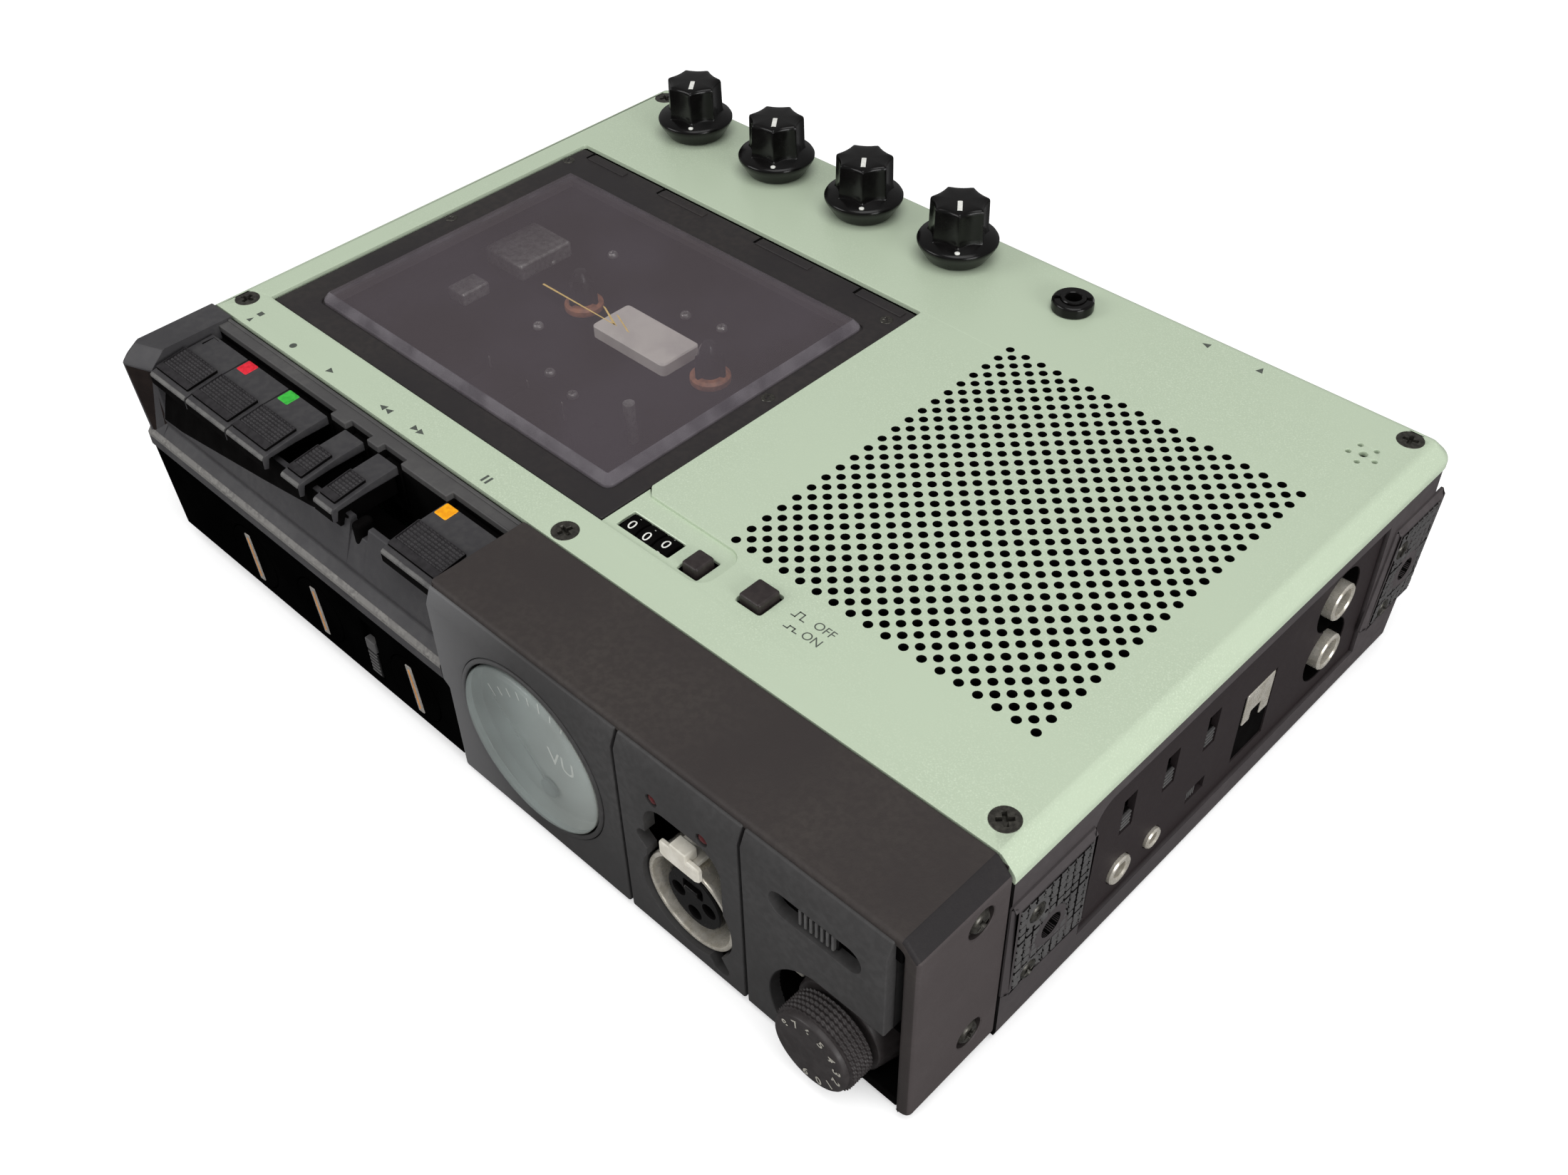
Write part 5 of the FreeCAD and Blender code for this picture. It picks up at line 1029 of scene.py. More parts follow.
def level_panel():
    """The level panel, the well behind its round cut, the knob, its ring and the speed slider.

    The knob's side is a circle of radius 8.45 with two waves on it: 0.16 cos(48 a) round the knob and
    0.13 cos(2 pi y / 0.95) along it.
    """
    x, z = LEVEL
    reach = LEVEL_OPENING
    a0, a1 = math.asin((1.6 - z) / reach), math.asin((24.6 - z) / reach)
    arc = np.linspace(math.pi - a1, math.pi - a0, 26)
    curve = [(x + reach * math.cos(a), z + reach * math.sin(a), 0.0) for a in arc][::-1]
    outline = [(78.1, 1.6, 0.4)] + curve + [(109.1, 24.6, 0.3), (109.1, 45.4, 0), (109.1, 48.8, 0.4),
                                            (78.1, 48.8, 0.4), (78.1, 45.4, 0)]
    slot = rounded([(84.3, 35.3, 2.88), (104.0, 35.3, 2.88), (104.0, 41.1, 2.88), (84.3, 41.1, 2.88)], 10)
    skin = bent_panel(outline, [(*slot, -77.6, 0.25)])
    skin.block((107.4, -77.8, 24.6), (109.1, -71.0, 47.2), 0.05)
    piece("level_front_panel", skin, panel_plastic, nodes=("level_panel",), angle=28)
    well = Skin()
    t = np.linspace(math.pi - a1, math.pi - a0 + 0.1, 30)
    path = np.stack([x + reach * np.cos(t), z + reach * np.sin(t)], -1)
    path = np.vstack([[(110.4, 24.6)], path])
    rows = lay("y", path[None, :, 0], path[None, :, 1], np.array([-77.7, -68.0])[:, None])
    well.grid(rows)
    well.block((83.4, -68.1, 4.2), (110.4, -66.8, 25.9), 0.05)
    well.block((89.5, -77.6, 1.6), (110.4, -68.0, 4.0), 0.3)
    piece("level_well", well, dark_void, turn=False)
    knob = Skin()
    n = 288
    a = np.arange(n) * 2 * math.pi / n
    rough = 0.16 * np.cos(a * 48)
    turns = [(0.0, -84.56), (2.0, -84.54), (5.0, -84.56), (7.3, -84.66), (7.75, -84.6), (8.0, -84.35),
             (8.05, -83.5)]
    for y in np.linspace(-83.3, -78.6, 49):
        turns.append((8.45 + rough + 0.13 * math.cos((y + 83.3) / 0.95 * 2 * math.pi), y))
    turns += [(8.3, -78.3), (7.6, -78.1), (3.1, -78.1)]
    rows = [np.stack([x + r * np.cos(a), np.full(n, y), z + r * np.sin(a)], -1) for r, y in turns]
    knob.grid(np.array(rows), True)
    piece("level_knob", knob, knob_face, "record_level", ("record_knob",), angle=45)
    marks = Skin()
    for i in range(10):
        a = math.radians(146 - 27 * i)
        points, faces = lettering("8765432109"[i], 2.5, math.degrees(a) - 90, x + 6.2 * math.cos(a),
                                  z + 6.2 * math.sin(a), -84.69, "y", bold=0.06)
        add_faces(marks, points, faces)
    piece("level_numbers", marks, grey_mark, "record_level", turn=False)
    ring = Skin()
    ring.lathe([(3.2, -77.5), (9.0, -77.5), (9.3, -77.2), (10.3, -73.2), (10.4, -72.4), (10.3, -71.6),
                (10.0, -71.3), (3.2, -71.3)], (x, 0, z), "y", 96)
    piece("mode_ring_turned", ring, knob_face, "mode", ("mode_ring",), turn=False)
    line = Skin()
    for low, high, r0, r1, y0, y1 in ((117.2, 118.6, 9.2, 10.36, -77.35, -73.1),
                                      (110.0, 118.6, 9.26, 9.4, -77.45, -76.8)):
        spread = np.linspace(math.radians(low), math.radians(high), 6)
        rows = []
        for r, y in ((r0 + 0.05, y0), (r1 + 0.05, y1)):
            rows.append(np.stack([x + r * np.cos(spread), np.full(6, y), z + r * np.sin(spread)], -1))
        line.grid(np.array(rows))
    piece("mode_ring_line", line, orange_line, "mode", turn=False)
    tab = Skin()
    tab.block((85.2, -76.6, 15.2), (88.4, -73.6, 18.6), 0.5, "y")
    piece("mode_ring_tab", tab, grey_mark, "mode")
    slider = Skin()
    slider.block((89.9, -79.0, 36.15), (98.5, -76.9, 40.25), 0.3, "y")
    for i in range(7):
        slider.block((90.4 + 1.17 * i, -79.65, 36.3), (91.0 + 1.17 * i, -78.8, 40.1), 0.2, "y", 1)
    slider.block((86.0, -77.4, 34.3), (102.4, -76.6, 42.0), 0.1, "y")
    piece("speed_grip", slider, [knob_black, strip_grey], "speed", ("speed_slider",))


# Keys and their housing


def key_top(y):
    """Height of a key's base under its pad and behind it: straight runs between five points."""
    return np.interp(y, [-77.5, -76.3, -68.5, -68.2, -61.7], [46.95, 47.15, 48.05, 48.2, 48.55])


def key(node, body, left, right, mark):
    """A key: base, raised pad with rows of small square studs, smooth front step and colour mark, with
    painted shade on the pad's side wall and front face and a painted highlight on the step.
    """
    skin = Skin()
    outline = [(-77.9, 44.0, 0.25), (-76.9, 43.7, 0.2), (-76.3, 46.0, 0.2), (-70, 46.4, 0.3),
               (-61.7, 46.4, 0.15), (-61.7, 48.55, 0.2), (-68.2, 48.2, 0.5), (-76.3, 47.2, 0.2),
               (-77.4, 46.95, 0.45), (-77.85, 46.3, 0.4)]
    soft = [(0.22, left), (0.06, left + 0.07), (0.0, left + 0.25), (0.0, right - 0.25),
            (0.06, right - 0.07), (0.22, right)]
    skin.slab(rounded(outline, 4), soft, "x")
    x0, x1, y0, y1 = left + 0.35, right - 1.0, -76.2, -68.5

    def pad_height(y):
        """Height of the pad, which climbs 0.13 for every millimetre to the back."""
        return 48.9 + (y + 68.5) * 0.13

    points, normals = rectangle(x0, y0, x1, y1, 0.25, 3)
    rows = []
    for inset, drop in ((0.0, 1.6), (0.0, 0.12), (0.04, 0.03), (0.14, 0.0), (0.21, 0.02), (0.22, 0.6)):
        ring = points - inset * normals
        rows.append(np.column_stack([ring, pad_height(ring[:, 1]) - drop]))
    # The pad's side wall is painted near black: painted shade.
    skin.grid(np.array(rows[:2]), True, 1)
    skin.grid(np.array(rows[1:]), True, 3)
    skin.flat([rows[-1]], 3)
    columns = max(3, round((x1 - x0 - 0.5) / 1.12))
    pitch_x, pitch_y, studs_from = (x1 - x0 - 0.4) / columns, 0.8, -74.5
    u = np.linspace(x0 + 0.2, x1 - 0.2, columns * 6 + 1)
    v = np.linspace(y0 + 0.2, y1 - 0.2, 56)
    x, y = np.meshgrid(u, v, indexing="ij")
    wave = np.sin(np.pi * (x - x0 - 0.2) / pitch_x) ** 2 * np.sin(np.pi * (y - studs_from) / pitch_y) ** 2
    studs = 0.3 * (np.clip(wave * 1.6, 0, 1) - 1) * (y > studs_from)
    skin.grid(np.stack([x, y, pad_height(y) + studs + 0.01], -1), paint=3)
    middle = (left + right) / 2
    skin.block((middle - 1.8, -76.0, 41.0), (middle + 1.8, -62.0, 46.6), 0.2, paint=1)
    # The front chamfer is painted light grey as a highlight.
    skin.slab(rounded([(-77.98, 46.15, 0.1), (-77.7, 46.1, 0.1), (-77.15, 47.0, 0.1),
                       (-77.4, 47.1, 0.15), (-77.93, 46.7, 0.2)], 3),
              [(0.1, left + 0.2), (0.0, left + 0.35), (0.0, right - 0.35), (0.1, right - 0.2)], "x", paint=2)
    # The upright front face below the chamfer is painted near black: painted shade.
    skin.slab(rounded([(-77.93, 44.1, 0.1), (-77.5, 44.1, 0.1), (-77.5, 46.2, 0.1), (-77.93, 46.2, 0.1)], 3),
              [(0.0, left + 0.2), (0.0, right - 0.2)], "x", paint=1)
    if body == "stop":
        for low, high in (((left + 1.2, -65.2), (left + 1.5, -62.1)),
                          ((left + 1.2, -62.4), (left + 3.4, -62.05))):
            skin.block((*low, 48.2), (*high, 48.52), 0.05, paint=1)
    piece(body + "_key_cap", skin, [key_plastic, dark_void, step_highlight_grey, pad_plastic], body, (node,),
          angle=38)
    if mark:
        tag = Skin()
        points, normals = rectangle(left + 0.4, -65.2, left + 4.0, -61.8, 0.35, 4)
        rows = []
        for inset, lift in ((0.0, -0.3), (0.0, 0.04), (0.08, 0.1), (0.25, 0.12)):
            ring = points - inset * normals
            rows.append(np.column_stack([ring, key_top(ring[:, 1]) + lift]))
        tag.grid(np.array(rows), True)
        tag.flat([rows[-1]])
        colour = {"red": red_mark, "green": green_mark, "amber": amber_mark}[mark]
        piece(body + "_key_mark", tag, colour, body)


def cheek():
    """The left end of the key row: an outline in x and y that leans in as z falls.

    Its front edge lies on a slope from the flat top down to z 46.6, and a brown panel is sunk in
    the face below that slope.
    """
    skin = Skin()
    rows = []
    levels = [(1.6, 0.3, 1.5), (2.0, 0.0, 1.5), (25.0, 0.0, 1.5), (25.01, 0.0, 0.0), (46.3, 0.0, 0.0),
              (46.7, 0.1, 0.25), (47.2, 0.35, 0.75), (49.3, 1.3, 3.2), (49.85, 1.75, 3.7), (50.0, 2.3, 4.1)]

    def lean_at(z):
        """How far the left end has moved in at height z: 0.168 for every millimetre below 47."""
        return 0.168 * max(47.0 - z, 0)

    for z, side, front in levels:
        lean = lean_at(z)
        corners = [(-104.1, -56.2, 0.05), (-113.8 + side, -56.2, 0.1),
                   (-113.8 + side + lean, -77.6 + front * 0.8, 0.3),
                   (-111.7 + side * 0.3 + lean, -79.7 + front, 0.4), (-104.1, -76.9 + front, 0.15)]
        line = rounded(corners, 4)[0]
        rows.append(np.column_stack([line, np.full(len(line), z)]))
    rows = np.array(rows)
    skin.grid(rows, True)
    skin.flat([rows[0]])
    skin.flat([rows[-1]])
    piece("left_cheek", skin, housing_plastic, angle=24)
    panel = Skin()
    frame_rows = []
    for out in (0.03, 0.1):
        quad = []
        for z in (45.9, 27.6):
            lean = lean_at(z)
            x0, x1 = -111.1 + lean, -104.6
            for x in ((x0, x1) if z > 40 else (x1, x0)):
                y = -79.7 + (x - (-111.7 + lean)) * 2.8 / (7.6 - lean) - out
                quad.append((x, y, z))
        frame_rows.append(quad)
    frame_rows = np.array(frame_rows)
    panel.grid(frame_rows, True)
    panel.flat([frame_rows[1]])
    piece("cheek_panel", panel, cheek_brown, turn=False)


def key_housing():
    """The strip behind the keys with its notches, the dark valley, the sloping apron with a painted shadow on
    it, and its lip.
    """
    cheek()
    strip = Skin()
    corners = [(-104.1, -56.2, 0.0), (-104.1, -59.6, 0.0)]
    for notch_end, tooth_end in ((-59.2, -54.1), (-46.6, -42.8), (-35.2, -20.5), (-1.6, None)):
        corners.append((notch_end, -59.6, 0.25))
        if tooth_end:
            corners += [(notch_end, -61.3, 0.3), (tooth_end, -61.3, 0.3), (tooth_end, -59.6, 0.25)]
    corners += [(-1.6, -56.2, 0.0)]
    # Below z 47.9 the strip's walls are painted near black: painted shade in the gaps behind the keys.
    strip.slab(rounded(corners, 3), [(0.03, 29.0), (0.03, 47.9)], caps=(True, False), paint=1)
    strip.slab(rounded(corners, 3), [(0.0, 47.9)] + edge(0.3, 0.3, 48.5, 49.4)[1:])
    strip.block((-104.0, -57.3, 49.2), (-1.8, -56.5, 49.75), 0.2)
    piece("key_strip", strip, [strip_grey, dark_void], nodes=("key_housing",))
    floor = Skin()
    floor.block((-104.1, -73.7, 29.0), (-3.3, -61.0, 30.2), 0.1)
    for left, right in ((-103.4, -59.8), (-53.4, -47.3), (-42.1, -35.9), (-19.8, -4.1)):
        floor.block((left, -61.4, 36.0), (right, -59.5, 46.4), 0.1)
    piece("key_valley", floor, dark_void)
    posts = Skin()
    for x in (-56.4, -44.9, -33.0, -21.9):
        posts.slab(rounded([(x - 1.3, -75.6, 1.2), (x + 1.3, -75.6, 1.2), (x + 1.3, -71.2, 1.2),
                            (x - 1.3, -71.2, 1.2)], 5),
                   [(0, 30.0)] + edge(0.8, 0.8, 36, 43.6)[1:])
    piece("key_guides", posts, dark_void)

    def section(top):
        """The apron's outline in y and z: a lip, a slope, and an upright edge cut off at height top."""
        corners = [(-80.1, 25.25, 0.15), (-78.0, 25.25, 0.1), (-75.6, 29.4, 0.2), (-73.4, 30.0, 0.1),
                   (-73.0, top, 0.3), (-74.3, top, 0.5)]
        if top < 43:
            corners[-1] = (-74.3 - (43.6 - top) * 0.2, top, 0.4)
        corners += [(-77.75, 33.6, 1.3), (-77.3, 31.8, 0.9), (-79.4, 29.6, 0.6), (-80.1, 28.8, 0.4)]
        return rounded(corners, 6)[0]

    apron = Skin()
    for low, high, top in ((-104.4, -35.4, 43.6), (-35.4, -29.6, 40.6), (-29.6, -3.3, 43.6)):
        apron.sweep(section(top), [low, high])
    # The lip's rounded front edge takes the pale lip finish: a painted highlight, with speckled wear.
    bright = rounded([(-80.16, 27.9, 0.1), (-79.9, 27.9, 0.1), (-79.1, 29.7, 0.1), (-79.4, 29.75, 0.2),
                      (-80.14, 28.8, 0.3)], 4)[0]
    apron.sweep(bright, [-104.4, -3.3], paint=1)
    piece("key_apron", apron, [housing_plastic, lit_and_worn_edge], angle=34)
    # A near-black sheet on the apron below the keys, widest at the left: painted shadow of the keys and
    # cheek.
    shade = Skin()
    x = np.linspace(-104.1, -36.0, 60)
    low = np.interp(x, [-104.1, -96.7, -65.0, -48.0, -36.0], [33.8, 34.0, 37.6, 39.8, 43.0])
    z = low + (43.5 - low) * np.linspace(0, 1, 9)[:, None]
    shade.grid(np.stack([np.broadcast_to(x, z.shape), -77.81 + (z - 33.6) * 0.345, z], -1))
    piece("apron_painted_shadow", shade, dark_void, turn=False)
    tail = Skin()
    corners = [(-80.1, 25.25, 0.15), (-77.0, 25.25, 0.1), (-77.0, 32.5, 0.1), (-79.4, 29.6, 0.6),
               (-80.1, 28.8, 0.4)]
    tail.sweep(rounded(corners, 6)[0], [-109.9, -104.3])
    # The lip's end takes the same painted highlight.
    tail.sweep(bright, [-109.8, -104.4], paint=1)
    piece("lip_end", tail, [housing_plastic, lit_and_worn_edge])


def window_strip():
    """The glossy black window at the front left, with its three flat knobs and its slider."""
    skin = Skin()
    outline = [(-105.9, 4.1, 0.4), (-2.0, 4.1, 0.3), (-2.0, 25.1, 0.2), (-109.3, 25.1, 0.3)]
    recess = [(0, -78.5), (0, -79.7), (0.15, -79.85)]
    holes = [(circle(x, WINDOW_KNOBS_Z, 8.15, 64), recess, "blind", 0) for x in WINDOW_KNOBS_X]
    holes.append((rectangle(-32.7, 6.3, -27.7, 22.0, 0.6), recess, "blind", 0))
    skin.slab(rounded(outline, 5), [(0.0, -78.3), (0.0, -79.7), (0.05, -79.83), (0.18, -79.88)], "y", holes)
    skin.block((-104.6, -78.6, 1.6), (-3.3, -76.7, 4.3), 0.3)
    piece("front_window_strip", skin, window_black, nodes=("front_window",))
    for i, x in enumerate(WINDOW_KNOBS_X):
        knob = Skin()
        knob.lathe([(2.0, -78.4), (7.7, -78.4), (7.85, -78.7), (7.85, -79.7), (7.7, -79.95),
                    (7.3, -80.02), (6.6, -79.9), (0, -79.86)], (x, 0, WINDOW_KNOBS_Z), "y", 80, 0)
        ray, across = direction(math.radians(-84))
        for half, rise, paint in ((0.95, 0.0, 1), (0.3, 0.06, 2)):
            reach = 6.3 - (0.9 if paint == 2 else 0.0)
            ends = ((-reach, -half), (reach, -half), (reach, half), (-reach, half))
            corners = [np.array([x, WINDOW_KNOBS_Z]) + r * ray + w * across for r, w in ends]
            knob.slab(rounded([(*c, 0.2) for c in corners], 3),
                      [(0.0, -79.7), (0.0, -80.0 - rise), (0.1, -80.1 - rise)], "y", paint=paint)
        piece(f"window_knob_face_{i + 1}", knob, [window_black, pointer_cream, orange_line],
              f"front_knob_{i + 1}", (f"window_knob_{i + 1}",))
    grip = Skin()
    grip.block((-32.1, -79.9, 7.0), (-28.3, -78.4, 13.6), 0.25, "y")
    for i in range(6):
        grip.block((-31.7, -80.05, 7.4 + 1.05 * i), (-28.7, -79.7, 7.9 + 1.05 * i), 0.12, "y", 1)
    grip.block((-31.9, -80.0, 13.9), (-28.6, -78.4, 16.8), 0.25, "y", 1)
    piece("tone_grip", grip, [knob_black, strip_grey], "tone", ("tone_slider",))


# Counter, buttons and printed marks


def counter():
    """Three digit wheels behind the window and the two push buttons."""
    y0, z0, r = -41.8, 44.5, 5.0
    for i, body in enumerate(("count_hundreds", "count_tens", "count_units")):
        x = 10.3 + 4.4 * i
        skin = Skin()
        skin.lathe([(1.2, x), (4.85, x), (5.0, x + 0.15), (5.0, x + 3.75), (4.85, x + 3.9),
                    (1.2, x + 3.9)], (0, y0, z0), "x", 80, 0)
        for digit in range(10):
            points, faces = lettering(str(digit), 3.0, 0, 0, 0, 0, "z")
            roll = points[:, 1] / r + (math.radians(36) * digit - (0.15, 0.22, 0.05)[i])
            placed = np.stack([x + 1.95 + points[:, 0] * 1.15, y0 + (r + 0.03) * np.sin(roll),
                               z0 + (r + 0.03) * np.cos(roll)], -1)
            add_faces(skin, placed, faces, 1)
        piece(f"digit_wheel_{i + 1}", skin, [dark_void, white_print], body, (f"counter_wheel_{i + 1}",),
              turn=False)
    box = Skin()
    wells = (((8.6, -48.0, 25.2, -37.8), (9.4, -47.2, 24.3, -38.6), 38.0, 48.65),
             ((25.6, -46.0, 33.6, -37.4), (26.2, -45.4, 32.9, -38.0), 40.6, 48.65),
             ((39.6, -45.6, 49.0, -36.2), (40.3, -44.9, 48.3, -36.9), 40.6, 48.9))
    for outer, inner, foot, top in wells:
        well = (rectangle(*inner, 0.3), [(0, foot + 0.6), (0, top)], "blind", 0)
        box.slab(rectangle(*outer, 0.4), [(0, foot), (0, top)], holes=[well])
    piece("button_wells", box, dark_void)
    for name, body, x, y, w, d, top in (("reset_cap", "reset", 29.5, -41.8, 4.0, 4.8, 50.9),
                                        ("memory_cap", "memory", 44.3, -40.8, 5.2, 5.6, 51.6)):
        cap = Skin()
        line = rectangle(x - w / 2, y - d / 2, x + w / 2, y + d / 2, 0.55, 5)
        t = np.linspace(0, math.pi / 2, 6)
        cap.slab(line, [(-0.15, 43.2)] + list(zip(0.5 * (1 - np.cos(t)), top - 0.5 + 0.5 * np.sin(t))))
        piece(name, cap, button_grey, body, (body + "_button",))


def symbols():
    """Plain transport symbols, switch figures and arrows, printed on the cover a hair above it."""
    skin = Skin()
    z = TOP + 0.015

    def shape(points):
        """One flat face through the points, at the height of the print."""
        skin.flat([np.array([(x, y, z) for x, y in points])])

    def triangle(x, y, size, turn):
        """An arrow head that points along the angle turn, in degrees."""
        a = math.radians(turn)
        corners = [(size, 0), (-size * 0.7, size * 0.75), (-size * 0.7, -size * 0.75)]
        shape([(x + u * math.cos(a) - v * math.sin(a), y + u * math.sin(a) + v * math.cos(a))
               for u, v in corners])

    def bar(x0, y0, x1, y1):
        """A rectangle between two opposite corners."""
        shape([(x0, y0), (x1, y0), (x1, y1), (x0, y1)])

    bar(-100.7, -51.9, -99.3, -50.5)
    triangle(-100.0, -53.9, 0.9, 90)
    shape(circle(-84.4, -53.2, 0.85, 24)[0])
    triangle(-70.7, -53.1, 1.1, 0)
    for dx in (-0.95, 0.95):
        triangle(-51.1 + dx, -53.0, 1.1, 180)
        triangle(-40.5 + dx, -52.9, 1.1, 0)
    bar(-18.9, -54.2, -18.3, -52.1)
    bar(-17.7, -54.2, -17.1, -52.1)
    triangle(59.6, 78.7, 1.1, 180)
    triangle(72.9, 78.5, 1.1, 90)
    for x, y, points in ((51.2, -39.9, ((0, 0), (0.9, 0), (0.9, 1.5), (2.1, 1.5), (2.1, 0), (3.0, 0))),
                         (52.2, -42.9, ((0, 0), (0.9, 0), (0.9, 0.8), (2.1, 0.8), (2.1, 0), (3.0, 0)))):
        for (u0, v0), (u1, v1) in zip(points[:-1], points[1:]):
            bar(x + min(u0, u1) - 0.13, y + min(v0, v1) - 0.13, x + max(u0, u1) + 0.13,
                y + max(v0, v1) + 0.13)
    for text, y in (("OFF", -38.9), ("ON", -42.1)):
        points, faces = lettering(text, 2.7, 0, 56.0, y, z, "z", centre=False)
        add_faces(skin, points, faces)
    piece("cover_symbols", skin, grey_print, turn=False)


# Right side


def strap_plate(index, outline, middle):
    """A plate with a wide bevel, raised squares with grooves between, a ringed hole and two screw seats.

    A point is in a groove when it is near the edge of its square of side 2.05 in y or in z.
    """
    skin = Skin()
    screws = LUG_SCREWS[2 * index:2 * index + 2]
    hole = (circle(middle, LUG_HOLE_Z, 2.6, 40), [(0, 111.6), (0, 115.2)], "through", 1)
    seats = [(circle(y, z, 2.75, 32), [(0, 114.0), (0, 114.95)], "blind", 1) for y, z in screws]
    skin.slab(rounded([(*c, 0.4) for c in outline], 4), [(0.0, 113.7), (0.0, 114.2), (1.1, 114.95)], "x",
              [hole] + seats)
    (y_low, z_low), (y_right, _), (y_high, z_high), (y_left, _) = outline
    s, t = np.meshgrid(np.linspace(0, 1, 91), np.linspace(0, 1, 105), indexing="ij")
    margin, pitch = 1.7, 2.05
    z = z_low + margin + t * (z_high - z_low - 2 * margin)
    k = (z - z_low) / (z_high - z_low)
    left, right = y_low + (y_left - y_low) * k + margin, y_right + (y_high - y_right) * k - margin
    y = left + s * (right - left)
    line_y = np.abs((y - left + 0.1) / pitch % 1 - 0.5) * 2
    line_z = np.abs((z - z_low) / pitch % 1 - 0.5) * 2
    ridge = np.clip((np.maximum(line_y, line_z) - 0.72) / 0.12, 0, 1)
    away = np.minimum.reduce([np.hypot(y - middle, z - LUG_HOLE_Z) - 4.3]
                             + [np.hypot(y - sy, z - sz) - 3.1 for sy, sz in screws])
    lift = 0.24 * (1 - ridge) * (away > 0)
    field = np.stack([114.97 + lift, y, z], -1)

    def middle_of(values):
        """Mean of the four corners of every square of the grid."""
        return (values[1:, 1:] + values[1:, :-1] + values[:-1, 1:] + values[:-1, :-1]) / 4

    groove = (middle_of(lift) < 0.12) & (middle_of(away) > 0)
    skin.grid(field, paint=np.where(groove, 1, 2).ravel(), keep=middle_of(away) > -1.0)
    skin.lathe([(4.2, 114.8), (4.2, 115.1), (3.9, 115.25), (2.9, 115.25), (2.6, 115.1), (2.6, 113.0)],
               (0, middle, LUG_HOLE_Z), "x", 48)
    name = ("front", "rear")[index]
    return skin, name


def right_side():
    """Strap plates, switches, jacks and the modular socket in the sunk side panel."""
    for i, (outline, middle) in enumerate(zip(LUG_OUTLINES, LUG_MIDDLES)):
        skin, name = strap_plate(i, outline, middle)
        piece(name + "_strap_plate", skin, [case_plastic, dark_void, strip_grey],
              nodes=("strap_plates",) if i == 0 else (), angle=30)
    for i, (y, body) in enumerate(((-20.7, "input_switch"), (-7.7, "limiter_switch"), (5.3, "tape_switch"))):
        skin = Skin()
        skin.block((109.0, y - 1.5, 25.1), (112.2, y + 1.5, 28.9), 0.2, "x")
        for k in range(4):
            skin.block((111.9, y - 1.45, 25.35 + 0.95 * k), (112.7, y + 1.45, 25.85 + 0.95 * k), 0.15, "x", 1)
        skin.block((109.2, y - 3.0, 23.0), (110.4, y + 3.0, 36.0), 0.1, "x")
        piece(f"side_slider_{i + 1}", skin, [knob_black, strip_grey], body, (f"side_switch_{i + 1}",))
    skin = Skin()
    skin.block((109.0, 1.3, 12.35), (112.2, 4.3, 14.95), 0.2, "x")
    for k in range(4):
        skin.block((111.9, 1.5 + 0.72 * k, 12.45), (112.6, 1.9 + 0.72 * k, 14.85), 0.12, "x", 1)
    skin.block((109.2, 0.2, 11.3), (110.4, 9.0, 16.0), 0.1, "x")
    piece("monitor_grip", skin, [knob_black, strip_grey], "monitor", ("monitor_switch",))
    rings = Skin()
    for y, z, r, bore in SMALL_JACKS:
        rings.lathe([(r, 109.0), (r, 113.3), (r - 0.25, 113.6), (bore + 0.45, 113.6), (bore, 113.3),
                     (bore, 110.6)], (0, y, z), "x", 48)
    for z in LINE_SOCKETS_Z:
        rings.lathe([(4.15, 108.0), (4.15, 113.7), (3.9, 114.0), (3.3, 114.0), (3.0, 113.7),
                     (3.0, 111.2)], (0, LINE_SOCKETS_Y, z), "x", 56)
    rings.slab(rectangle(16.7, 10.3, 27.8, 28.3, 0.4), [(0, 107.0), (0, 112.5)], "x", paint=1)
    rings.slab(rounded([(18.0, 19.6, 0.3), (20.6, 19.6, 0.2), (20.6, 22.0, 0.2), (24.4, 22.0, 0.2),
                        (24.4, 18.2, 0.2), (27.5, 18.2, 0.4), (27.5, 28.0, 0.5), (18.0, 28.0, 0.5)], 4),
               [(0, 112.2), (0, 112.65), (0.2, 112.8)], "x")
    piece("jack_metal", rings, [nickel, dark_void], nodes=("side_jacks",))
    dark = Skin()
    for y, z, _, bore in SMALL_JACKS:
        dark.lathe([(bore, 110.6), (0, 110.6)], (0, y, z), "x", 32)
    for z in LINE_SOCKETS_Z:
        dark.lathe([(7.3, 112.6), (7.3, 108.4), (4.1, 108.4)], (0, LINE_SOCKETS_Y, z), "x", 56)
        dark.lathe([(3.0, 111.2), (2.4, 111.5), (1.7, 111.5), (1.7, 108.0), (0, 108.0)],
                   (0, LINE_SOCKETS_Y, z), "x", 40)
    piece("jack_insides", dark, dark_void, turn=False)


def staying_nodes():
    """Gives the CAD nodes that stay in view their finishes."""
    steel = ("flywheel", "motor", "motor_pulley", "pivot_rods", "potentiometers")
    for finish, nodes in ((case_plastic, ("bottom_case",)), (board_green, ("circuit_board",)),
                          (dark_void, ("feet", "speaker", "drive_belt", "pinch_roller")),
                          (steel_grey, steel)):
        for node in nodes:
            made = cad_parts[node]
            made.data.materials.clear()
            made.data.materials.append(finish.material)


# Stage


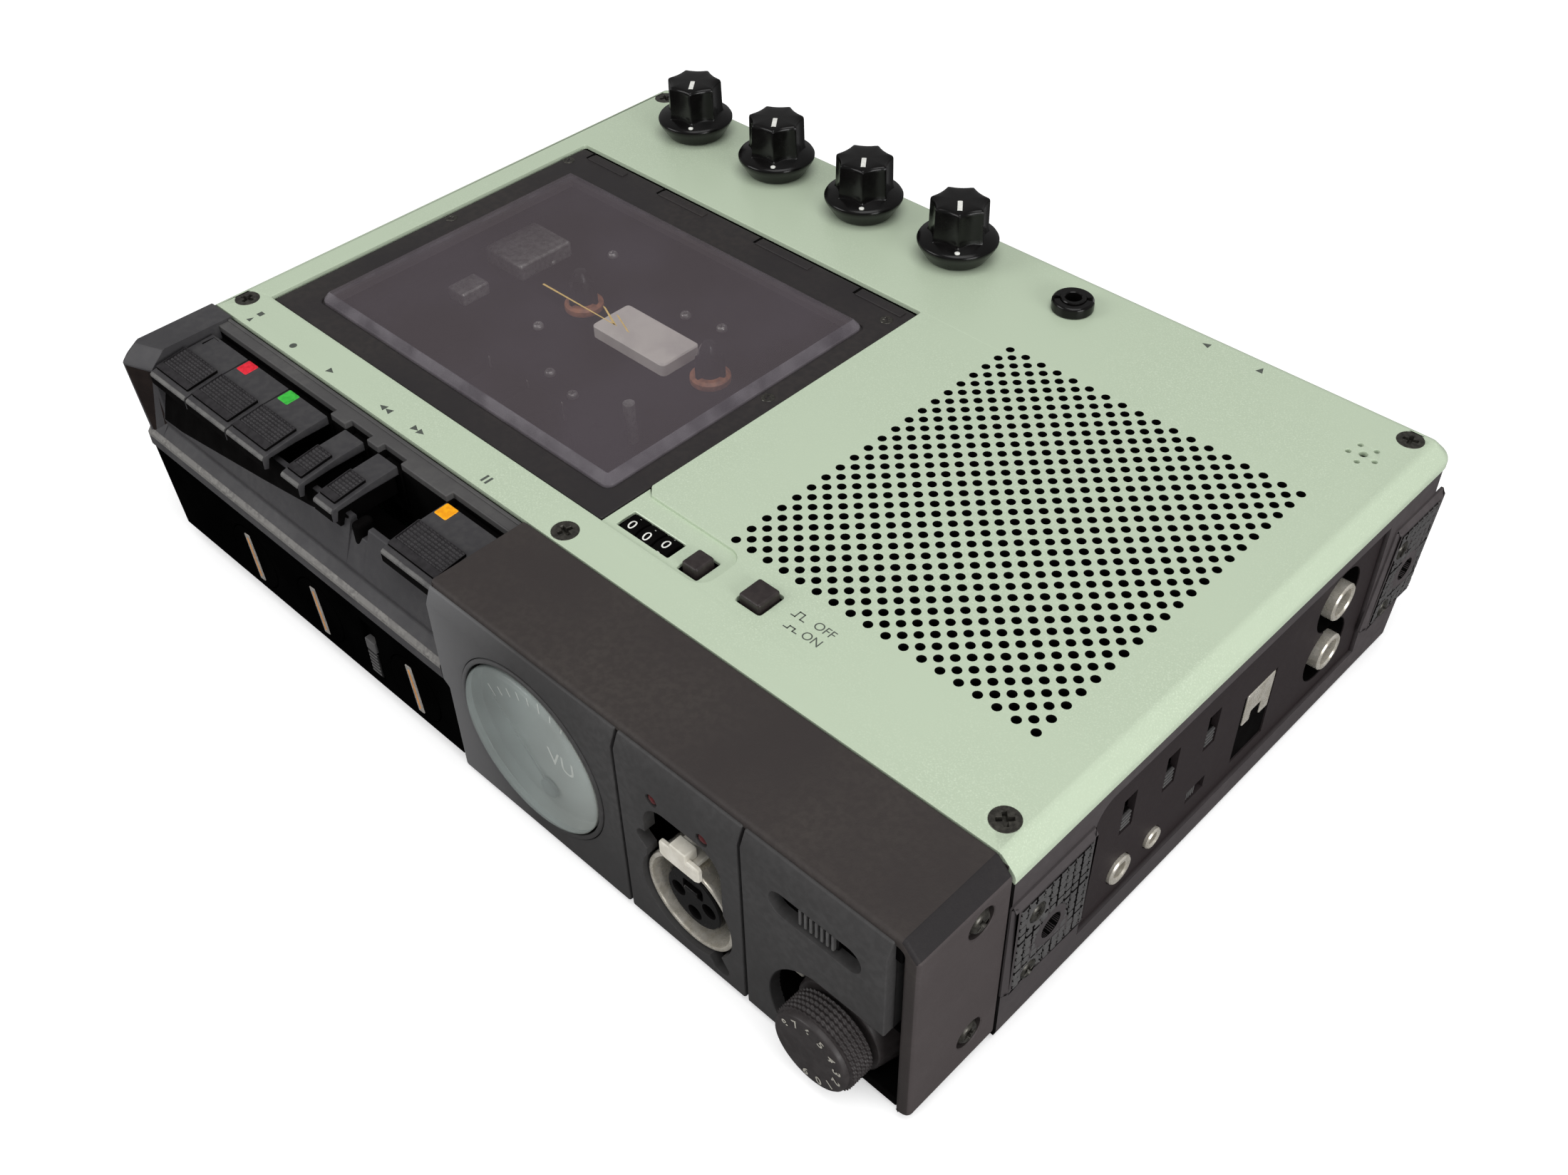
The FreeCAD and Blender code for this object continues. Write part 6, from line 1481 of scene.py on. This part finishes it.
def studio():
    """A pale floor that shows white to the camera, three soft lamps, and the camera."""
    floor_mesh = bpy.data.meshes.new("floor")
    s = 6.0
    floor_mesh.from_pydata([(-s, -s, 0), (s, -s, 0), (s, s, 0), (-s, s, 0)], [], [(0, 1, 2, 3)])
    floor = bpy.data.objects.new("floor", floor_mesh)
    bpy.context.scene.collection.objects.link(floor)
    material = bpy.data.materials.new("floor_white")
    material.use_nodes = True
    tree = material.node_tree
    shader = tree.nodes["Principled BSDF"]
    shader.inputs["Base Color"].default_value = (0.86, 0.86, 0.86, 1)
    shader.inputs["Roughness"].default_value = 0.9
    shader.inputs["Emission Color"].default_value = (1, 1, 1, 1)
    path = tree.nodes.new("ShaderNodeLightPath")
    lift = tree.nodes.new("ShaderNodeMath")
    lift.operation = "MULTIPLY"
    lift.inputs[1].default_value = 0.4
    tree.links.new(path.outputs["Is Camera Ray"], lift.inputs[0])
    tree.links.new(lift.outputs[0], shader.inputs["Emission Strength"])
    dim = tree.nodes.new("ShaderNodeBsdfDiffuse")
    dim.inputs["Color"].default_value = (0.16, 0.16, 0.16, 1)
    mix = tree.nodes.new("ShaderNodeMixShader")
    tree.links.new(path.outputs["Is Glossy Ray"], mix.inputs[0])
    tree.links.new(shader.outputs[0], mix.inputs[1])
    tree.links.new(dim.outputs[0], mix.inputs[2])
    tree.links.new(mix.outputs[0], tree.nodes["Material Output"].inputs[0])
    floor_mesh.materials.append(material)

    world = bpy.data.worlds.new("studio")
    world.use_nodes = True
    bpy.context.scene.world = world
    tree = world.node_tree
    tree.nodes.clear()
    output = tree.nodes.new("ShaderNodeOutputWorld")
    soft = tree.nodes.new("ShaderNodeBackground")
    soft.inputs["Color"].default_value = (1, 1, 1, 1)
    soft.inputs["Strength"].default_value = 0.3
    white = tree.nodes.new("ShaderNodeBackground")
    white.inputs["Strength"].default_value = 1.0
    white.inputs["Color"].default_value = (1, 1, 1, 1)
    path = tree.nodes.new("ShaderNodeLightPath")
    mix = tree.nodes.new("ShaderNodeMixShader")
    tree.links.new(path.outputs["Is Camera Ray"], mix.inputs[0])
    tree.links.new(soft.outputs[0], mix.inputs[1])
    tree.links.new(white.outputs[0], mix.inputs[2])
    tree.links.new(mix.outputs[0], output.inputs[0])

    def lamp(name, place, target, size, power):
        """An area lamp that faces its target: place, target and size in metres, power in watts."""
        light = bpy.data.lights.new(name, "AREA")
        light.shape = "RECTANGLE"
        light.size, light.size_y = size
        light.energy = power
        holder = bpy.data.objects.new(name, light)
        holder.location = place
        aim = Vector(target) - Vector(place)
        holder.rotation_euler = aim.to_track_quat("-Z", "Y").to_euler()
        bpy.context.scene.collection.objects.link(holder)

    lamp("top_softbox", (0.3, -0.15, 1.1), (0, 0, 0.03), (0.9, 0.9), 7.4)
    lamp("front_left_softbox", (-0.8, -1.05, 0.75), (0, 0, 0.03), (0.8, 0.7), 7.0)
    lamp("right_softbox", (1.2, -0.2, 0.35), (0, 0, 0.03), (0.6, 0.5), 7.0)

    camera = bpy.data.cameras.new("photo_camera")
    camera.sensor_width = 36.0
    camera.lens = PHOTO_FOCAL / PHOTO_WIDTH * camera.sensor_width
    camera.clip_start = 0.01
    holder = bpy.data.objects.new("photo_camera", camera)
    right = Vector((0.7207454, 0.6929721, -0.0177679))
    down = Vector((0.4682711, -0.5056180, -0.7246190))
    ahead = Vector((-0.5111245, 0.5139456, -0.6889206))
    turn = Matrix((right, -down, -ahead)).transposed().to_4x4()
    holder.matrix_world = Matrix.Translation((0.1949483, -0.1860474, 0.2513565)) @ turn
    bpy.context.scene.collection.objects.link(holder)
    bpy.context.scene.camera = holder
    bpy.context.scene.view_settings.view_transform = "Standard"


cover_sheet()
piece("cover_screws", cover_screws(), screw_black)
echo_jack()
echo_knobs()
cassette_door()
tape_bay()
front_strip()
meter()
microphone_panel()
level_panel()
for node, body, left, right, mark in KEYS:
    key(node, body, left, right, mark)
key_housing()
window_strip()
counter()
symbols()
right_side()
staying_nodes()
studio()
